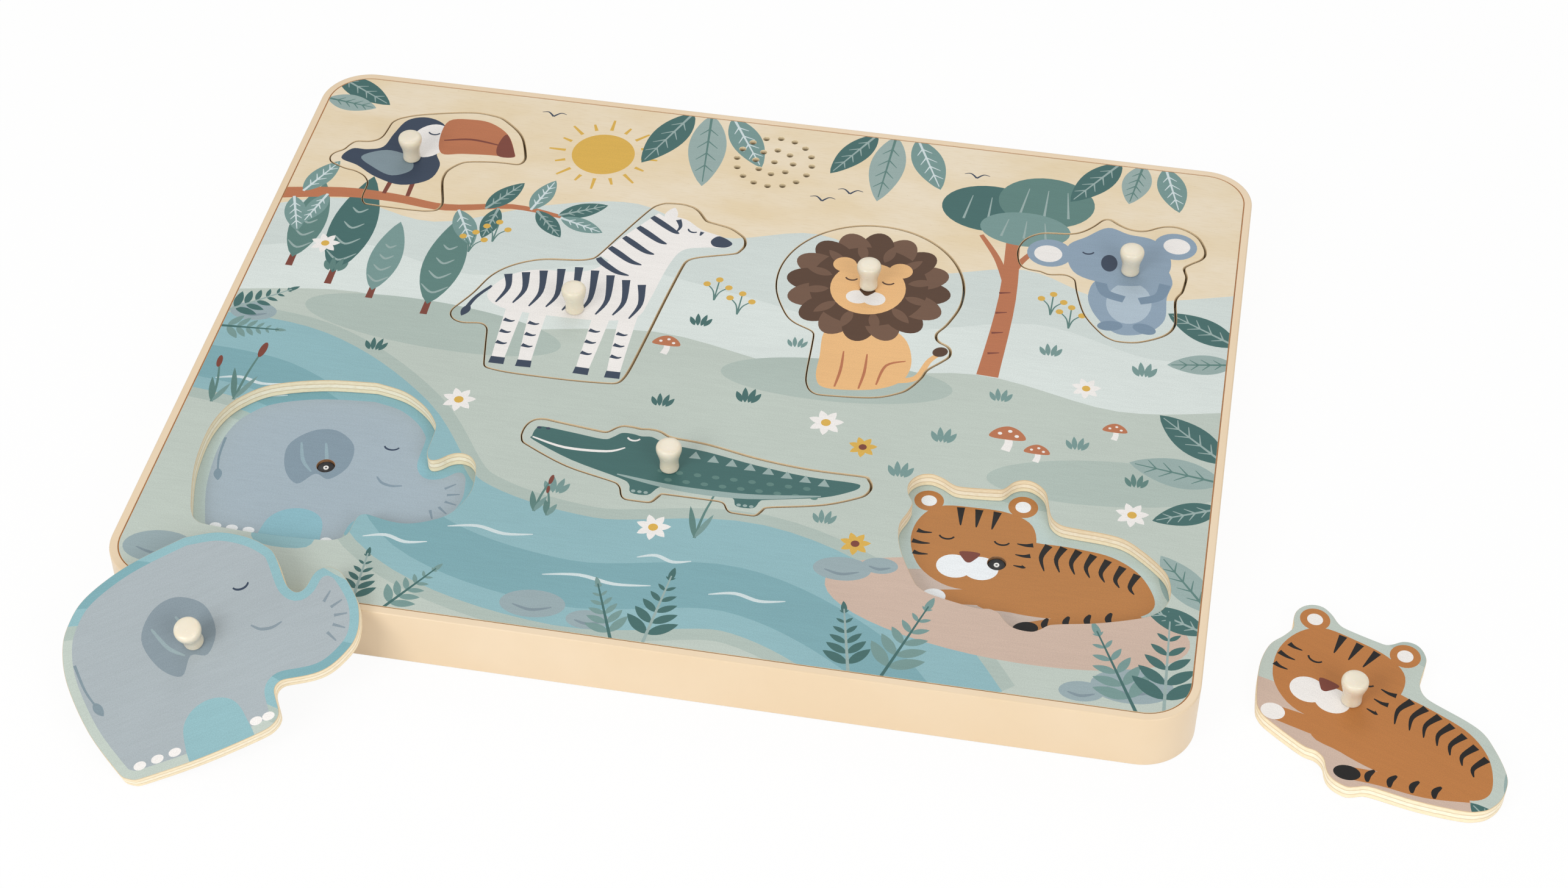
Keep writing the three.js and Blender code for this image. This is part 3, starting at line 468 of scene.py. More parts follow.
outlines = {name: sawnCurve(topLoops(name, places[name])[-1]) for name in animals}
boardLoops = topLoops("puzzle_board", Matrix())
boardEdge = widest(boardLoops)
pockets, soundHoles = {}, []
for loop in boardLoops:
    middle = centreOf(loop)
    if loop is boardEdge:
        continue
    if len(loop) < layout["drilledCorners"]:
        soundHoles.append(middle)
    else:
        near = min(animals, key=lambda n: (Vector(layout["knobs"][n]) - middle).length)
        pockets[near] = sawnCurve(loop)
soundRadius = reachOf(boardLoops[0])
boreReach = 2 * soundRadius  # a wall nearer than this to a sound hole's middle is its bore
print("outlines:", {name: len(points) for name, points in outlines.items()}, len(soundHoles), "holes")

# The printed picture, in millimetres over the whole panel: later inks cover earlier ones
inks = {
    "haze": "#D4DCD8",
    "hill": "#CBD4D0",
    "ground": "#B9C3BA",
    "meadow": "#AAB8B0",
    "deepTeal": "#3F6764",
    "teal": "#597D77",
    "midTeal": "#72928E",
    "lightTeal": "#93A8A4",
    "clay": "#B5704C",
    "maroon": "#793F32",
    "ochre": "#D4AA4B",
    "stone": "#93A5A9",
    "darkStone": "#7D8E96",
    "water": "#8BB2B8",
    "deepWater": "#79A4AB",
    "foam": "#CBD8D9",
    "navy": "#344154",
    "white": "#E9E5E1",
    "orange": "#B5763F",
    "sand": "#C6AE9E",
    "lionTan": "#E5B57C",
    "mane": "#533928",
    "maneLight": "#6D503E",
    "koala": "#899DAF",
    "koalaDark": "#748A9E",
    "koalaLight": "#AABAC6",
    "elephant": "#A3ACB0",
    "elephantDark": "#839199",
    "black": "#1A1716",
}
picture = []


def ink(name, points):
    picture.append((name, turnedLeft(points)))


# Land: bare sky over three lines of hills, a stream and its banks
land = {
    "hill": [(-152, 44), (-128, 52), (-98, 46), (-66, 60), (-38, 66), (-10, 55), (20, 62), (52, 50),
             (84, 57), (112, 48), (152, 58)],
    "haze": [(-152, 24), (-118, 32), (-80, 24), (-40, 36), (0, 30), (44, 22), (90, 33), (126, 24),
             (152, 30)],
    "ground": [(-152, 4), (-112, 10), (-70, 2), (-20, 9), (30, 0), (76, 8), (118, 0), (152, 6)],
}
frontCorners = [(152, -116), (-152, -116)]  # just past the panel's front
for landInk, ridge in land.items():
    ink(landInk, spline(ridge, False, 6) + frontCorners)
stream = [(-156, -22), (-122, -26), (-92, -46), (-66, -78), (-22, -90), (24, -84), (62, -100), (84, -124)]
ink("meadow", stroke(stream, 40, 46, 6, 8))
ink("water", stroke(stream, 32, 38, 6, 8))
ink("deepWater", stroke([(x - 2, y - 5) for x, y in stream], 13, 15, 3, 8))
ripples = ((-128, -34, 14), (-44, -80, 16), (-10, -93, 20), (30, -92, 14), (-70, -88, 12), (4, -82, 10))
for x, y, length in ripples:
    ripple = [(x - length, y), (x - length / 2, y + 1.6), (x, y), (x + length / 2, y + 1.2)]
    ink("foam", stroke(ripple, 0.3, 0.3, 0.9))
ink("sand", oval(96, -84, 50, 17, -4, 48))
for x, y, rx, ry, turn in ((36, -2, 34, 9, 3), (-86, 0, 40, 10, -4), (118, -30, 34, 9, 6)):
    ink("meadow", oval(x, y, rx, ry, turn, 48))
stones = ((-30, -104, 9, 5), (-14, -107, 6, 3.4), (50, -76, 8, 4.4), (60, -73, 5, 3), (-136, -102, 10, 6),
          (-122, -107, 7, 4), (132, -104, 11, 6), (119, -108, 6, 3.5), (-140, -4, 7, 4))
for x, y, rx, ry in stones:
    ink("stone", oval(x, y, rx, ry, 4))
    crease = [(x - 0.6 * rx, y - 0.2 * ry), (x, y - 0.45 * ry), (x + 0.6 * rx, y - 0.1 * ry)]
    ink("darkStone", stroke(crease, 0.3, 0.3, 0.7))


# Plants, each drawn from one foot point
def broadTree(x, y, height, crowns, trunk):
    ink(trunk, stroke([(x, y), (x + 1.5, y + 0.5 * height), (x - 0.5, y + height)], 6.5, 4.0))
    for side in (-1, 1):
        branch = [(x + out * side, y + up * height) for out, up in ((0, 0.62), (4, 0.76), (10, 0.9))]
        ink(trunk, stroke(branch, 2.6, 1.4))
    for step in range(4):
        mark = y + (0.14 + 0.13 * step) * height
        ink("maroon", stroke([(x - 1.2, mark), (x + 2.2, mark + 0.8)], 0.9, 0.3))
    for shade, dx, dy, rx, ry in crowns:
        ink(shade, oval(x + dx, y + dy, rx, ry, 0, 36))
        for k in (-0.5, 0.0, 0.5):
            vein = [(x + dx + k * rx, y + dy - 0.55 * ry), (x + dx + 0.8 * k * rx, y + dy + 0.5 * ry)]
            ink("lightTeal", stroke(vein, 0.8, 0.25))


def coneTree(x, y, height, shade):
    ink("maroon", stroke([(x, y), (x, y + 0.2 * height)], 2.2, 1.8))
    ink(shade, leafShape(x, y + 0.1 * height, 90, 0.9 * height, 0.27 * height, 15))
    for k in range(4):
        level = y + (0.26 + 0.14 * k) * height
        half = (0.09 - 0.014 * k) * height
        bow = scaledAt(x, level, half, [(-1, 0.3), (0, -0.5), (1, 0.3)])
        ink("lightTeal", stroke(bow, 0.25, 0.25, 0.6))


def fern(x, y, turn, length, shade, rib, pairs=6):
    for k in range(pairs):
        t = 0.18 + 0.76 * k / (pairs - 1)
        size = length * 0.36 * (1.12 - t)
        start = pointAt(x, y, turn, length * t)
        for side in (-1, 1):
            ink(shade, leafShape(*start, turn + side * 52, size, 0.36 * size))
    ink(shade, leafShape(*pointAt(x, y, turn, 0.92 * length), turn, 0.2 * length, 0.07 * length))
    ink(rib, stroke([pointAt(x, y, turn, t * length) for t in (0, 0.5, 1)], 1.0, 0.4))


def bigLeaf(x, y, turn, length, width, shade, rib):
    ink(shade, leafShape(x, y, turn, length, width, 15))
    ink(rib, stroke([pointAt(x, y, turn, t * length) for t in (0, 0.45, 0.94)], 0.9, 0.3))
    for k in range(4):
        t = 0.2 + 0.17 * k
        start = pointAt(x, y, turn, length * t)
        reach = width * (0.42 - 0.26 * abs(t - 0.42))
        for side in (-1, 1):
            ink(rib, stroke([start, pointAt(*start, turn + side * 42, reach)], 0.55, 0.2))


def grass(x, y, shade, size=7.0):
    for lean in (-28, -9, 10, 27):
        ink(shade, leafShape(x + 0.05 * lean, y, 90 - lean, size * (1 - abs(lean) / 90), 0.26 * size))


def toadstool(x, y, size):
    sized = partial(scaledAt, x, y, size)
    ink("white", stroke(sized([(0, 0), (0.1, 0.5), (0, 1)]), 0.42 * size, 0.3 * size))
    ink("clay", spline(sized([(-0.8, 0.8), (-0.55, 1.3), (0, 1.55), (0.55, 1.3), (0.8, 0.8), (0, 0.7)])))
    for spot in sized([(-0.35, 1.05), (0.08, 1.25), (0.4, 0.98)]):
        ink("white", oval(*spot, 0.1 * size, 0.09 * size, 0, 10))


def daisy(x, y, size, petals, heart):
    for k in range(7):
        ink(petals, leafShape(x, y, 360 * k / 7 + 12, size, 0.5 * size, 7))
    ink(heart, oval(x, y, 0.28 * size, 0.28 * size, 0, 14))


def reed(x, y, height, lean):
    ink("teal", stroke([(x, y), (x + 0.3 * lean, y + 0.5 * height), (x + lean, y + height)], 0.9, 0.5))
    ink("maroon", oval(x + lean, y + height, 0.05 * height, 0.15 * height, -lean * 2, 16))
    ink("teal", leafShape(x, y, 90 + 16, 0.62 * height, 1.8))
    ink("midTeal", leafShape(x, y, 90 - 20, 0.52 * height, 1.7))


for x, y, height, shade in ((-136, 18, 40, "teal"), (-122, 12, 52, "deepTeal"), (-108, 8, 36, "midTeal"),
                            (-90, 4, 46, "teal")):
    coneTree(x, y, height, shade)
darkLeaf, paleLeaf, softLeaf = ("deepTeal", "lightTeal"), ("lightTeal", "teal"), ("midTeal", "foam")
bough = [(-153, 50), (-130, 54.6), (-113, 55), (-96, 53.4), (-76, 57.5), (-60, 55.5)]
ink("clay", stroke(bough, 5.4, 1.6))
twigs = ((-144, 50, -70, 17), (-134, 53, -104, 15), (-92, 53, -62, 18), (-84, 55, 58, 17),
         (-80, 56, -96, 15), (-70, 57, 74, 16), (-68, 57, -48, 15), (-61, 56, 28, 16),
         (-60, 55, -18, 15), (-142, 53, 66, 18))
for x, y, turn, length in twigs:
    bigLeaf(x, y, turn, length, 0.4 * length, *chance.choice((darkLeaf, softLeaf)))
broadTree(79, 8, 70, (
    ("deepTeal", -9, 76, 15, 11), ("teal", 8, 82, 15, 12), ("midTeal", 3, 68, 14, 8)), "clay")
edgeLeaves = ((34, 152, 24), (26, 190, 20), (-16, 140, 26), (-24, 172, 27), (-34, 204, 20),
              (-74, 128, 24), (-82, 158, 19))
for k, (y, turn, length) in enumerate(edgeLeaves):
    bigLeaf(150, y, turn, length, 0.42 * length, *(darkLeaf, paleLeaf)[k % 2])
sun = {"place": (-54, 88), "radius": 10, "rays": 16, "rayFrom": 12.2, "rayTo": (17.5, 15.5)}
ink("ochre", oval(*sun["place"], sun["radius"], sun["radius"], 0, 40))
for k in range(sun["rays"]):
    ends = (sun["rayFrom"], sun["rayTo"][k % 2])
    ink("ochre", stroke([pointAt(*sun["place"], 360 * k / sun["rays"], away) for away in ends], 1.2, 0.7))
hanging = ((-30, 114, -112, 30, 11), (-24, 114, -84, 36, 12), (-17, 114, -60, 27, 10),
           (30, 114, -118, 25, 9), (36, 114, -92, 33, 11), (43, 114, -66, 26, 10),
           (108, 114, -122, 26, 10), (115, 114, -98, 20, 9), (122, 114, -74, 22, 9),
           (-148, 112, -30, 24, 9), (-148, 100, -8, 17, 8))
for k, (x, y, turn, length, width) in enumerate(hanging):
    bigLeaf(x, y, turn, length, width, *(darkLeaf, paleLeaf, softLeaf)[k % 3])
for x, y in ((18, 78), (26, 83), (64, 98), (-74, 104)):
    ink("navy", stroke([(x - 4, y + 1.6), (x - 2, y + 2), (x, y)], 0.2, 0.7))
    ink("navy", stroke([(x, y), (x + 2, y + 2), (x + 4, y + 1.6)], 0.7, 0.2))
ferns = ((-78, -114, 92, 20, 0), (-70, -114, 58, 21, 1), (-6, -114, 112, 22, 1), (2, -114, 84, 27, 0),
         (58, -114, 102, 24, 0), (66, -114, 72, 30, 1), (134, -113, 116, 30, 1), (141, -113, 92, 34, 0),
         (-149, -6, 38, 22, 0), (-149, -12, 4, 19, 1))
for x, y, turn, length, kind in ferns:
    fern(x, y, turn, length, ("deepTeal", "midTeal")[kind], ("lightTeal", "deepTeal")[kind])
for x, y, size in ((-100, -14, 6), (12, -16, 7), (70, -22, 7), (108, -18, 6), (124, 16, 7), (-12, -22, 6),
                   (60, -38, 7), (126, -30, 6), (-122, 18, 7), (22, 10, 5), (96, 20, 6), (-34, -62, 7),
                   (42, -60, 6), (-8, 14, 6), (84, -2, 6)):
    grass(x, y, chance.choice(("deepTeal", "teal", "midTeal")), size)
for x, y, size in ((88, -22, 6.5), (97, -25, 4.6), (-16, 0, 5.2), (118, -12, 4.4)):
    toadstool(x, y, size)
for x, y, size in ((36, -20, 5.2), (48, -28, 4.2), (126, -41, 4.8), (-70, -30, 5.0), (-4, -70, 5.0),
                   (108, 8, 4.4), (-128, 30, 4.6), (52, -66, 4.4)):
    daisy(x, y, size, *chance.choice((("white", "ochre"), ("clay", "ochre"), ("ochre", "maroon"))))
reeds = ((-38, -70, 13, 2), (-34, -71, 10, -2), (-134, -42, 22, 2), (-140, -44, 17, -3), (8, -72, 20, 3))
for x, y, height, lean in reeds:
    reed(x, y, height, lean)
for x, y in ((-84, 34), (-78, 40), (94, 38), (100, 33), (-6, 26), (2, 21)):
    for dx, dy in ((-3.4, 7), (0, 9.5), (3.4, 6.4)):
        ink("teal", stroke([(x, y), (x + 0.3 * dx, y + 0.6 * dy), (x + dx, y + dy)], 0.5, 0.4))
        ink("ochre", oval(x + dx, y + dy, 1.15, 1.15, 0, 12))
print("land and plants:", len(picture), "shapes")


# Animals: plain figures of their kinds inside each piece, drawn about the knob
def drawAnimal(name, parts):
    ox, oy = layout["knobs"][name]
    for shade, points in parts:
        ink(shade, scaledAt(ox, oy, 1, points))


def alike(shade, shape, *settings):
    return [(shade, shape(*each)) for each in settings]


def closedEye(x, y, size, turn=0.0):
    bow = []
    for step in range(7):
        a = radians(200 + 140 * step / 6)
        bow.append((size * cos(a), 0.8 * size * (sin(a) + 0.5)))
    return stroke(turnedAt(x, y, turn, bow), 0.5, 0.5, 0.15)


toucan = [
    ("maroon", stroke([(-3.5, -12), (-4, -18.5)], 1.5, 1.3)),
    ("maroon", stroke([(3.5, -12), (3.6, -18.5)], 1.5, 1.3)),
    ("navy", spline([(-22, -4), (-16, -6.6), (-9, -11), (0, -13.5), (8, -9.5), (9.6, -2), (7, 4),
                     (8.4, 10), (6, 18), (-0.5, 21), (-6.5, 18.5), (-9, 11), (-10.5, 4), (-15, 1.8),
                     (-20, 1.2)])),
    ("white", oval(3.2, 9.6, 6.2, 8.6, -8)),
    ("clay", spline([(6.6, 20.6), (14, 22.6), (20.5, 21.8), (27, 17), (31, 9), (31.2, 6.2), (24, 6),
                     (15, 5), (8.6, 4), (6, 11)])),
    ("maroon", spline([(26.6, 17.2), (31, 9), (31.2, 6.2), (26.4, 6.1), (25, 11)])),
    ("maroon", stroke([(7.6, 10.6), (16, 12.6), (25.4, 11.4)], 0.5, 0.5, 0.4)),
    ("darkStone", spline([(-16, -2), (-9, 2.5), (-1, 0.5), (1.5, -5.5), (-4, -9.5), (-11, -6.5)])),
    ("navy", closedEye(3.6, 13.6, 1.9)),
]

zebraStripes = []
for k in range(9):
    x = -23.5 + 5.1 * k
    top = 12 + 0.34 * (x + 24) if x < 0 else 19 - 0.25 * x
    band = [(x, top), (x + 1.4, 6), (x - 0.6, -1 + 0.6 * (k % 2))]
    zebraStripes.append(("navy", stroke(band, 2.6, 0.5)))
for k in range(5):
    t = k / 4
    x, y = 3.5 + 13 * t, 22.5 + 22 * t
    crest = (x - 2.8 + 0.9 * (k == 0), y + 2.0)
    band = [crest, (x, y), (x + 5, y - 3.4), (x + 9 - 2 * t, y - 4.4)]
    zebraStripes.append(("navy", stroke(band, 1.7, 0.4, 1.1)))
zebraLegs = []
for x, lean in ((-17.8, 0.4), (-10.6, 1.2), (8.6, -0.6), (16.4, 0.9)):
    foot = x + lean
    zebraLegs.append(("white", stroke([(x, 2), (x + 0.4 * lean, -12), (foot, -25)], 5.6, 3.8)))
    zebraLegs.append(("navy", stroke([(foot, -24.4), (foot + 0.1 * lean, -27.3)], 4.2, 4.6)))
    for y in (-8, -13, -18):
        across = x + lean * (2 - y) / 27
        band = [(across - 2.1, y), (across, y - 0.5), (across + 1.2, y)]
        zebraLegs.append(("navy", stroke(band, 1.5, 0.3)))
zebra = zebraLegs + [
    ("navy", stroke([(-27, 6), (-30.5, 0), (-32.2, -6)], 1.0, 1.4)),
    ("navy", leafShape(-31.4, -3.6, -104, 5.4, 2.6)),
    ("white", stroke([(3.6, 24.6), (10.2, 36.2), (17.2, 47.4)], 5.4, 4.4)),
    ("white", leafShape(19, 45, 84, 7.2, 4.0)),
    ("white", spline([(-27.5, 2), (-24, 10.5), (-16, 15.5), (-4, 16.8), (3, 20.5), (9, 32), (15.5, 44),
                      (19, 47.6), (24.5, 47), (30, 43.2), (37, 41), (40.3, 38.4), (39, 36.3), (32, 35),
                      (26, 32.4), (23.2, 24), (21, 8), (18.6, 0), (8, -3.4), (-10, -4), (-22, -3)])),
    ("navy", spline([(36, 41.2), (40.4, 38.7), (39, 36.4), (35.2, 36.2), (33.8, 38.6)])),
] + zebraStripes + [
    ("navy", stroke([(22, 46.6), (23.2, 43.6), (22.6, 41)], 1.8, 0.4)),
    ("navy", stroke([(30.4, 42.2), (30, 40.4)], 1.4, 0.4)),
    ("navy", closedEye(27.2, 42.2, 1.6, -20)),
]

lion = [
    ("lionTan", stroke([(14, -40), (20, -37.6), (22.6, -30), (25, -26.4)], 2.2, 1.5)),
    ("mane", oval(25.4, -25.2, 2.4, 2.0, 40)),
    ("lionTan", spline([(-8.6, -20), (-9.2, -34), (-8.6, -43), (-5, -46.6), (6, -45.4), (13, -42.6),
                        (17, -38), (17.6, -30), (14, -21), (6, -17)])),
    ("clay", stroke([(-2.6, -30), (-2.2, -38), (-2.8, -45.6)], 0.4, 0.5, 0.4)),
    ("clay", stroke([(4.4, -30), (4.8, -38), (4.2, -45.2)], 0.4, 0.5, 0.4)),
    ("clay", stroke([(16, -31), (10.6, -34), (9, -42.6)], 0.4, 0.5, 0.4)),
]
for k in range(16):
    turn = 22.5 * k
    lion.append((("mane", "maneLight")[k % 2], oval(*pointAt(0, 0, turn, 17), 8, 5.2, turn)))
lion.append(("mane", oval(0, 0, 18, 18, 0, 40)))
for k in range(12):
    turn = 30 * k + 15
    lion.append(("maneLight", leafShape(*pointAt(0, 0, turn, 12), turn, 8.4, 3.2)))
lion += [
    *alike("lionTan", oval, (-8.6, 8.6, 3.6, 3.4), (8.6, 8.6, 3.6, 3.4), (0, -1, 11.4, 11.8, 0, 36)),
    *alike("white", oval, (-2.5, -5.4, 3.5, 3.0), (2.5, -5.4, 3.5, 3.0)),
    ("mane", spline([(-2.4, -1.6), (2.4, -1.6), (0.9, -4), (0, -4.5), (-0.9, -4)])),
    *alike("mane", closedEye, (-5.6, 2.6, 1.9), (5.6, 2.6, 1.9)),
]

koala = [
    ("koala", spline([(-8, -4), (-11.4, -12), (-9.4, -20), (-4, -27), (1, -29), (8, -26.4), (12.2, -20),
                      (12, -10), (13, -2), (8, 4)])),
    ("koalaLight", oval(1, -14.4, 6.8, 9.4)),
    ("koalaDark", stroke([(-8.6, -5), (-6.4, -11), (-0.6, -13)], 3.6, 3.0)),
    ("koalaDark", stroke([(11, -4), (9.6, -10), (4, -13)], 3.6, 3.0)),
    *alike("koalaDark", oval, (-3.6, -25.6, 3.8, 2.2, 12), (6.6, -25.2, 3.6, 2.2, -16)),
    *alike("koala", oval, (-25, 4.2, 6.9, 6.4), (12.6, 14.2, 6.6, 6.2)),
    *alike("white", oval, (-25.4, 3.8, 4.3, 3.9), (13, 14.4, 4.1, 3.7)),
    ("koala", spline([(-20, 8), (-14.6, 14), (-8.6, 19.4), (-2, 17.4), (6, 16), (11.4, 9), (11, 0),
                      (3, -6), (-8, -6.6), (-17, -3)])),
    ("navy", oval(-6.6, 2.8, 2.5, 3.9, 4)),
    *alike("navy", closedEye, (-13.4, 6.6, 1.8, 8), (0.6, 8.2, 1.8, 8)),
]

crocodileBody = [
    (-41.2, 5.6), (-40.8, 8.6), (-39, 9.8), (-30, 8.9), (-21, 7.9), (-18.4, 9.2), (-16.2, 11.3),
    (-13, 11.5), (-10.5, 11), (-7.6, 11.3), (-5, 10.2), (-2, 9.2), (9, 8.2), (24, 5.4), (39, 3.6),
    (52, 3.5), (54.2, 2.4), (52, 0), (44.4, -3.8), (30, -7.4), (27.6, -8.4), (26.2, -11.4),
    (21.4, -11.5), (19.8, -8.6), (14, -7.7), (1, -7.7), (-1.6, -8.6), (-3.8, -11.7), (-8.6, -11.7),
    (-9.8, -8.6), (-13, -6.6), (-28, -2), (-40.4, 3.9),
]
crocodile = [("deepTeal", spline(crocodileBody, True, 4))]
for k in range(8):
    x = 4.6 + 5.4 * k
    back = 8.2 - 0.62 * k
    crocodile.append(("lightTeal", [(x, back - 3.4), (x + 3.4, back - 3.2), (x + 1.5, back - 0.4)]))
for row in range(2):
    for k in range(9):
        x = -2 + 5.2 * k + 2.6 * row
        crocodile.append(("teal", oval(x, -1.6 - 3.2 * row + 0.05 * k, 1.1, 0.75, 0, 12)))
crocodile += [
    ("lightTeal", stroke([(-14, -5.2), (4, -7.6), (24, -7.2), (44, -3.4)], 0.4, 0.4, 1.8)),
    ("white", stroke([(-41, 5.2), (-31, 2.6), (-19, 3.2), (-14, 5.6)], 0.5, 0.4, 0.5)),
    *alike("navy", oval, (-40, 9.2, 0.7, 0.5, 0, 10), (-37.4, 9.3, 0.7, 0.5, 0, 10)),
    ("white", closedEye(-12.4, 9.6, 1.9)),
]
for foot in (-8.1, -6.3, -4.5, 22.0, 23.8, 25.6):
    crocodile.append(("lightTeal", oval(foot, -10.9, 0.65, 0.55, 0, 10)))

elephant = [
    ("elephant", grown(outlines["elephant"], -2.6)),
    ("water", spline([(-9.4, -36), (-10.4, -25), (-7, -19.4), (-1, -17.6), (4.4, -20), (6.4, -26),
                      (5.6, -36)])),
    ("elephantDark", spline([(-1, 14.5), (5.5, 9.5), (6.4, 1), (2.4, -5), (-2, -3.6), (-6, -8.4),
                             (-11, -3.4), (-13, 6), (-8, 13)])),
    ("stone", stroke([(-9.6, 8), (-7, 1), (-3.4, -3)], 0.5, 0.4, 0.6)),
    ("stone", stroke([(-2.6, 9), (-0.6, 3), (0.2, -1)], 0.5, 0.4, 0.6)),
    ("elephantDark", stroke([(15.5, -1.5), (17.5, -3.6), (20.5, -4.4), (23.5, -3.8)], 0.4, 0.4, 0.5)),
    ("navy", closedEye(16.4, 10.6, 2.3)),
    ("darkStone", stroke([(-31.6, 6), (-31, -2), (-29.4, -8)], 0.8, 0.5)),
    ("darkStone", leafShape(-29.9, -6.4, -72, 5, 2.4)),
]
for k in range(5):
    crease = [pointAt(31.5, -6.5, -66 + 27 * k, away) for away in (5.6, 9.2)]
    elephant.append(("elephantDark", stroke(crease, 0.9, 0.4)))
for foot in (-23.4, -18.6, -13.8, 8.6, 12.0):
    elephant.append(("white", oval(foot, -28.4, 1.7, 1.2, 0, 16)))

tiger = [
    ("orange", stroke([(40, -11), (30, -16.4), (19, -19.6), (10.4, -22.8)], 5.2, 4.2)),
    ("black", oval(10.6, -22.8, 3.6, 2.5, 20)),
    ("orange", spline([(2, 8), (12, 9.6), (22, 9.4), (31, 8), (38.4, 3.6), (43, -3), (44.2, -8.6),
                       (40.6, -12.8), (31, -15.6), (18, -17.8), (6, -17.6), (-4, -15)])),
]
for k in range(7):
    x = 13.4 + 4.2 * k
    top = 9.4 - 0.012 * (x - 15) ** 2
    band = [(x, top), (x - 1.6, top - 5), (x - 0.2, top - 10 + 0.4 * k)]
    tiger.append(("black", stroke(band, 2.3, 0.3)))
for k in range(4):
    x, y = 33 - 5.6 * k, -15.2 - 1.7 * k
    tiger.append(("black", stroke([(x, y + 2.4), (x - 0.7, y), (x + 0.2, y - 2.2)], 0.6, 0.6, 1.2)))
tiger += [
    ("orange", stroke([(4, -12.4), (-6, -14), (-15, -15.4)], 6.6, 4.8)),
    ("white", oval(-15.4, -15.4, 3.3, 2.8, 8)),
    *alike("orange", oval, (-21.8, 20.6, 4.2, 4.0), (4.6, 22.8, 4.2, 4.2)),
    *alike("white", oval, (-21.8, 20.6, 2.2, 2.1), (4.6, 22.8, 2.2, 2.2)),
    ("orange", spline([(-23.6, 13), (-18.6, 19), (-9, 20.2), (1, 19.8), (8, 16), (9.8, 7), (6, -4),
                       (-2, -10.4), (-12, -11), (-20.6, -5.4), (-24.6, 4)])),
    *alike("white", oval, (-11.4, -3.2, 5.0, 4.4), (-4.2, -2.8, 5.0, 4.4)),
    ("maroon", spline([(-10.6, 2.6), (-5, 2.8), (-6.6, -0.4), (-7.8, -1.2), (-9, -0.5)])),
    *alike("black", closedEye, (-15, 7.6, 2.2), (0.4, 8, 2.2)),
]
for x, lean in ((-12.6, -0.8), (-7.4, 0), (-2.2, 0.8)):
    tiger.append(("black", stroke([(x, 19.6), (x - 0.5 * lean, 16), (x - lean, 12.6)], 2.4, 0.3)))
for y in (8.6, 4.4, 0.2):
    cheeks = ((-24.2 + 0.2 * abs(y - 4.4), -21.6, -19.2), (9.6 - 0.3 * abs(y - 7), 7, 4.6))
    for outer, middle, inner in cheeks:
        tiger.append(("black", stroke([(outer, y), (middle, y - 0.4), (inner, y - 0.2)], 1.7, 0.3)))

drawings = {
    "toucan": toucan,
    "zebra": zebra,
    "lion": lion,
    "koala": koala,
    "crocodile": crocodile,
    "elephant": elephant,
    "tiger": tiger,
}
for name, parts in drawings.items():
    drawAnimal(name, parts)
print("picture:", len(picture), "shapes")


# Flat faces of an area, each with the ink that lies uppermost on it
def printedFaces(boundary, holes):
    low = [min(p[i] for p in boundary) for i in (0, 1)]
    high = [max(p[i] for p in boundary) for i in (0, 1)]
    shapes = []
    for shade, points in picture:
        reaches = [
            max(p[i] for p in points) >= low[i] and min(p[i] for p in points) <= high[i] for i in (0, 1)
        ]
        if all(reaches):
            shapes.append((shade, points))
    loops = [boundary] + holes + [points for shade, points in shapes]
    corners, faces = [], []
    for loop in loops:
        faces.append(list(range(len(corners), len(corners) + len(loop))))
        corners += [Vector(p) for p in loop]
    insideOnly, mergeWithin = 1, 1e-4
    flat, _, triangles, _, _, sources = delaunay_2d_cdt(corners, [], faces, insideOnly, mergeWithin, True)
    kept, shades = [], []
    for triangle, source in zip(triangles, sources):
        if 0 not in source or any(0 < s <= len(holes) for s in source):
            continue
        top = max(source)
        kept.append(tuple(triangle))
        shades.append(shapes[top - 1 - len(holes)][0] if top > len(holes) else "bare")
    return flat, kept, shades


# A mesh from points in millimetres
def newMesh(name, points, faces, *surfaces):
    mesh = bpy.data.meshes.new(name)
    mesh.from_pydata([(x * mm, y * mm, z * mm) for x, y, z in points], [], faces)
    for surface in surfaces:
        mesh.materials.append(surface)
    return mesh


# An object that is shaded smooth but for its sharp edges
def addObject(name, mesh, sharpAngle):
    mesh.validate()
    mesh.polygons.foreach_set("use_smooth", [True] * len(mesh.polygons))
    mesh.set_sharp_from_angle(angle=radians(sharpAngle))
    mesh.update()
    made = bpy.data.objects.new(name, mesh)
    scene.collection.objects.link(made)
    return made


def settle(piece, body, slotName, *stoodFor):
    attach(piece, body)
    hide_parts(*stoodFor)


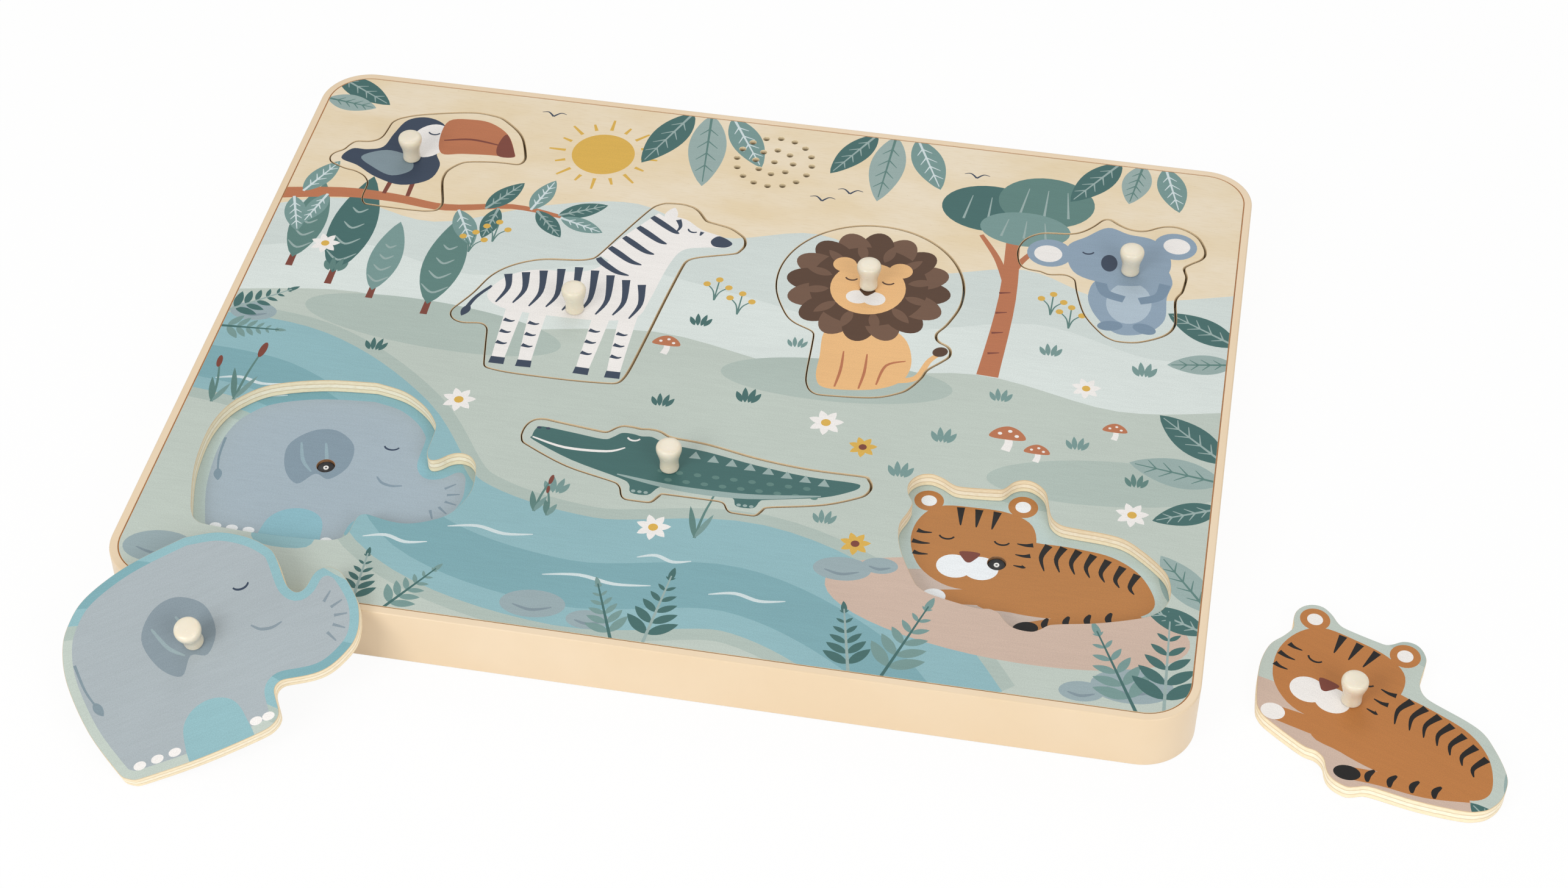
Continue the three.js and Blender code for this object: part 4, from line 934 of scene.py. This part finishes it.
# A printed panel: inked top, broken edges, sawn walls and a plain back
def printedPanel(
    name, boundary, holes, thick, edgeBreak, about, wallSurface, backSurface, bores=(), tint=(1, 1, 1)
):
    inner = grown(boundary, -edgeBreak)
    wider = [grown(hole, edgeBreak) for hole in holes]
    flat, triangles, shades = printedFaces(inner, wider)
    used = sorted({i for triangle in triangles for i in triangle})
    number = {old: new for new, old in enumerate(used)}
    spots = [flat[i] - Vector(about) for i in used]
    triangles = [tuple(number[i] for i in triangle) for triangle in triangles]
    ahead = borderOf(triangles)
    behind = {b: a for a, b in ahead.items()}
    rim = list(ahead)
    rimNumber = {v: k for k, v in enumerate(rim)}
    count, around = len(spots), len(rim)
    points = [(p.x, p.y, height) for height in (thick, 0.0) for p in spots]
    for height in (thick - edgeBreak, edgeBreak):
        for v in rim:
            along = (spots[ahead[v]] - spots[behind[v]]).normalized()
            p = spots[v] + Vector((along.y, -along.x)) * edgeBreak
            points.append((p.x, p.y, height))
    upper, lower = 2 * count, 2 * count + around
    inkFace, bareFace, wallFace, backFace, boreFace = range(5)  # the order of the mesh's materials
    faces = triangles + [(c + count, b + count, a + count) for a, b, c in triangles]
    kinds = [bareFace if shade == "bare" else inkFace for shade in shades] + [backFace] * len(triangles)
    for a in rim:
        b = ahead[a]
        ra, rb = rimNumber[a], rimNumber[b]
        isBored = any((spots[a] - centre).length < boreReach for centre in bores)
        wall = boreFace if isBored else wallFace
        faces += [(b, a, upper + ra, upper + rb), (upper + rb, upper + ra, lower + ra, lower + rb),
                  (lower + rb, lower + ra, a + count, b + count)]
        kinds += [wall, wall, backFace]
    mesh = newMesh(name, points, faces, inked, birch, wallSurface, backSurface, boredEdge)
    mesh.polygons.foreach_set("material_index", kinds)
    table = {"bare": linear("#EAD5AC")}
    for shade, value in inks.items():
        table[shade] = [a * b for a, b in zip(linear(value), (*tint, 1))]
    colours = mesh.color_attributes.new("ink", "FLOAT_COLOR", "CORNER")
    for polygon in mesh.polygons:
        shade = shades[polygon.index] if polygon.index < len(shades) else "bare"
        for corner in polygon.loop_indices:
            colours.data[corner].color = table[shade]
    return addObject(name, mesh, sharpAngle=35)


# Board, backing sheet and animals
soundLoops = [oval(c.x, c.y, soundRadius, soundRadius, 0, 20) for c in soundHoles]
boardHoles = list(pockets.values()) + soundLoops
plywood = {
    "thick": layout["boardThick"],
    "edgeBreak": layout["edgeBreak"],
    "wallSurface": sawnEdge,
    "backSurface": birch,
}
board = printedPanel("printed_board", boardEdge, boardHoles, about=(0, 0), bores=soundHoles, **plywood)
board.location.z = layout["boardBottom"] * mm
settle(board, "tray", "printed_plywood", "puzzle_board")
print("board:", len(board.data.polygons), "faces")

coolTint = (0.97, 1.05, 1.12)  # the sheet's print run came out a little cooler than the board's
sheetLoops = topLoops("backing_sheet", Matrix())
sheetEdge = widest(sheetLoops)
sheetHoles = []
for loop in sheetLoops:
    if loop is not sheetEdge:
        middle, reach = centreOf(loop), reachOf(loop)
        isRound = len(loop) > layout["boxCorners"] and reach < layout["roundReach"]
        sheetHoles.append(oval(middle.x, middle.y, reach, reach, 0, 32) if isRound else loop)
sheet = printedPanel(
    "pocket_floor_sheet", sheetEdge, sheetHoles, layout["sheetThick"], layout["sheetBreak"], (0, 0),
    fibreboard, fibreboard, tint=coolTint)
sheet.location.z = layout["sheetBottom"] * mm
settle(sheet, "tray", "printed_hardboard", "backing_sheet")
print("sheet:", len(sheet.data.polygons), "faces")

rests = {name: Vector(layout["seatShift"]) * mm for name in animals}
rests["elephant"] = rests["tiger"] = Vector((0, 0, 0))
for name in animals:
    about = layout["knobs"][name]
    piece = printedPanel(name + "_piece", scaledAt(*about, 1, outlines[name]), [], about=about, **plywood)
    piece.matrix_world = places[name] @ Matrix.Translation(rests[name])
    settle(piece, name, "printed_plywood", name)
print("animals made:", len(animals))


# Turned shapes: a profile of radius and height in millimetres
def turnedSolid(name, profile, material, count=40):
    points, faces = [], []
    for radius, height in profile:
        points += [(x, y, height) for x, y in oval(0, 0, radius, radius, 0, count)]
    for row in range(len(profile) - 1):
        for k in range(count):
            a, b = row * count + k, row * count + (k + 1) % count
            faces.append((a, b, b + count, a + count))
    faces.append(tuple(range(count))[::-1])
    faces.append(tuple(range((len(profile) - 1) * count, len(profile) * count)))
    return addObject(name, newMesh(name, points, faces, material), sharpAngle=50)


# Knobs: a flat round head, a narrower waist and a slightly wider foot
knob = {
    "profile": [(2.52, 0.1), (2.7, 0.28), (2.74, 0.8), (2.66, 1.8), (2.67, 3.0), (2.86, 4.2), (3.2, 5.4),
                (3.52, 6.5), (3.67, 7.4), (3.6, 8.2), (3.24, 8.78), (2.45, 9.07), (1.2, 9.16),
                (0.3, 9.18)],
}
for name in animals:
    made = turnedSolid(name + "_grip", spline(knob["profile"], False, 4), materials["ivory_plastic"])
    foot = rests[name] + Vector((0, 0, layout["boardThick"] * mm))
    made.matrix_world = places[name] @ Matrix.Translation(foot)
    settle(made, name, "ivory_plastic", name + "_knob")

# Light sensors: a black cup under the sheet's hole with a small lens in it
sensor = {
    "cup": [(2.5, 0.0), (2.5, 2.6), (4.1, 2.6), (4.1, 3.5), (2.45, 3.5), (2.45, 4.85), (2.3, 5.0),
            (2.1, 5.0), (1.95, 4.85), (0.2, 4.8)],
    "lens": [(0.8, 4.78), (0.8, 5.0), (0.74, 5.1), (0.58, 5.15), (0.4, 5.1), (0.3, 5.0), (0.05, 4.98)],
    "bottom": 8.0,
}
for name in animals:
    cup = turnedSolid(name + "_sensor_cup", sensor["cup"], materials["black_plastic"], 32)
    lens = turnedSolid(name + "_sensor_lens", spline(sensor["lens"], False, 3), lensEpoxy, 24)
    for made in (cup, lens):
        made.location = Vector((*layout["knobs"][name], sensor["bottom"])) * mm
        settle(made, "tray", "black_plastic", name + "_sensor")
print("knobs and sensors made")


# Painted shade: an amber band closes the narrow gap between the rim and the board, just below the top, for
# the shade in that gap
gapShadeBand = {"low": 15.0, "high": 18.1, "inner": 0.03, "outer": 0.28}


def ringSolid(name, inner, outer, low, high, material):
    count = len(inner)
    points = [(x, y, z) for z in (low, high) for loop in (inner, outer) for x, y in loop]
    faces = []
    for k in range(count):
        a, b = k, (k + 1) % count
        faces.append((a + count, a, b, b + count))
        faces.append((a + 2 * count, a + 3 * count, b + 3 * count, b + 2 * count))
        faces.append((a, a + 2 * count, b + 2 * count, b))
        faces.append((a + 3 * count, a + count, b + count, b + 3 * count))
    return addObject(name, newMesh(name, points, faces, material), sharpAngle=40)


gapShadeLoops = [grown(boardEdge, gapShadeBand[side]) for side in ("inner", "outer")]
plyGlueAndGapShade = ringSolid("board_gap_shade", *gapShadeLoops, gapShadeBand["low"], gapShadeBand["high"], gapShadeSurface)
settle(plyGlueAndGapShade, "tray", "peach_plastic", "tray_shell")

# Moulded parts: body, slot and edge round in millimetres
moulded = {
    "tray_shell": ("tray", "peach_plastic", 0.12),
    "battery_door": ("battery_door", "peach_plastic", 0.2),
    "switch_slider": ("switch_slider", "black_plastic", 0.2),
}
moulding = {"mergeWithin": 0.002 * mm, "flatAngle": radians(1), "sharpAngle": radians(40)}


# the solid's own shape with softened edges
def softened(node, body, slotName, width):
    mesh = nodes[node].data.copy()
    shape = bmesh.new()
    shape.from_mesh(mesh)
    bmesh.ops.remove_doubles(shape, verts=shape.verts, dist=moulding["mergeWithin"])
    bmesh.ops.dissolve_limit(
        shape, angle_limit=moulding["flatAngle"], verts=shape.verts, edges=shape.edges)
    inner = [e for e in shape.edges if len(e.link_faces) == 2]
    sharp = [e for e in inner if e.calc_face_angle() > moulding["sharpAngle"]]
    bmesh.ops.bevel(
        shape, geom=sharp, offset=width * mm, offset_type="OFFSET", segments=2, profile=0.5,
        affect="EDGES", clamp_overlap=True)
    shape.to_mesh(mesh)
    shape.free()
    mesh.materials.clear()
    mesh.materials.append(materials[slotName])
    made = addObject(node + "_moulded", mesh, sharpAngle=32)
    # flat faces keep their own normals, so only the rounded edges catch the light
    made.modifiers.new("flat faces", "WEIGHTED_NORMAL").keep_sharp = True
    settle(made, body, slotName, node)


for node, settings in moulded.items():
    softened(node, *settings)
for shown in nodes.values():
    slotName = shown.material_slots[0].material.name if shown.material_slots else ""
    if slotName in materials and not shown.hide_render:
        shown.material_slots[0].material = materials[slotName]
print("tray and small parts dressed")

# Stage: a pale floor, a soft lamp on each side in front, a weaker one behind and an even white surround
stage = {
    "floorTones": ("#F4F3F1", "#F6F5F3"),
    "floorGrain": 300,  # millimetres, as are the floor's other sizes
    "floorHalf": 3000,
    "floorDrop": 0.2,
    "floorGlow": 0.93,  # how much of the floor the camera sees as plain white
    "lamps": {  # energy, and place in metres
        "left lamp": (4.7, (-0.48, -0.86, 0.66)),
        "right lamp": (3.4, (0.68, -0.78, 0.66)),
        "back lamp": (1.35, (-0.02, 0.6, 0.72)),
    },
    "lampSize": 0.5,
    "aim": (0.02, -0.02, 0.01),
    "surround": 0.61,
}
card, add, shader, place = newMaterial("matt white card", 0.9)
tone = add("TexNoise", {"Vector": place, "Scale": perMm / stage["floorGrain"]})
first, second = stage["floorTones"]
tone = add("Mix", {0: tone, 6: first, 7: second}, 2, data_type="RGBA")
finishSurface(card, shader, colour=tone)
# the camera, and metal or clear parts, see the floor as plain white
seen = add("LightPath", {}, "Is Camera Ray")
for rayName in ("Is Glossy Ray", "Is Transmission Ray"):
    ray = add("LightPath", {}, rayName)
    seen = add("Math", {0: seen, 1: ray}, operation="MAXIMUM")
amount = add("Math", {0: seen, 1: stage["floorGlow"]}, operation="MULTIPLY")
glow = add("Emission", {"Color": "#FFFFFF"})
blended = add("MixShader", {0: amount, 1: shader.outputs[0], 2: glow})
card.node_tree.links.new(blended, card.node_tree.nodes["Material Output"].inputs["Surface"])
half = stage["floorHalf"]
corners = [(-half, -half, 0), (half, -half, 0), (half, half, 0), (-half, half, 0)]
floor = addObject("floor", newMesh("floor", corners, [(0, 1, 2, 3)], card), sharpAngle=30)
floor.location.z = -stage["floorDrop"] * mm

world = bpy.data.worlds.new("surround")
scene.world = world
world.use_nodes = True
world.node_tree.nodes["Background"].inputs["Color"].default_value = (1, 1, 1, 1)
world.node_tree.nodes["Background"].inputs["Strength"].default_value = stage["surround"]
for lampName, (energy, lampPlace) in stage["lamps"].items():
    lampData = bpy.data.lights.new(lampName, "AREA")
    lampData.energy = energy
    lampData.size = stage["lampSize"]
    lamp = bpy.data.objects.new(lampName, lampData)
    lamp.location = lampPlace
    lamp.rotation_euler = (Vector(stage["aim"]) - lamp.location).to_track_quat("-Z", "Y").to_euler()
    scene.collection.objects.link(lamp)

# Camera: fitted to the tray's edges in the photo, in its pixels, degrees and millimetres
view = {
    "focal": 4807.2,
    "width": 2571,
    "turn": 9.958,
    "rise": 44.265,
    "roll": 0.45,
    "away": 861.6,
    "aim": (22.5, -12.4, 0),
    "sensor": 36,
}
cameraData = bpy.data.cameras.new("camera")
cameraData.sensor_width = view["sensor"]
cameraData.lens = view["focal"] * view["sensor"] / view["width"]
cameraData.clip_start = 10 * mm
camera = bpy.data.objects.new("camera", cameraData)
scene.collection.objects.link(camera)
turn, rise, roll = (radians(view[k]) for k in ("turn", "rise", "roll"))
back = Vector((sin(turn) * cos(rise), -cos(turn) * cos(rise), sin(rise)))
right = (-back).cross(Vector((0, 0, 1))).normalized()
up = right.cross(-back)
rolledRight = cos(roll) * right + sin(roll) * up
rolledUp = cos(roll) * up - sin(roll) * right
facing = Matrix((rolledRight, rolledUp, back)).transposed().to_4x4()
camera.matrix_world = Matrix.Translation((Vector(view["aim"]) + back * view["away"]) * mm) @ facing
scene.camera = camera
scene.view_settings.view_transform = "Standard"
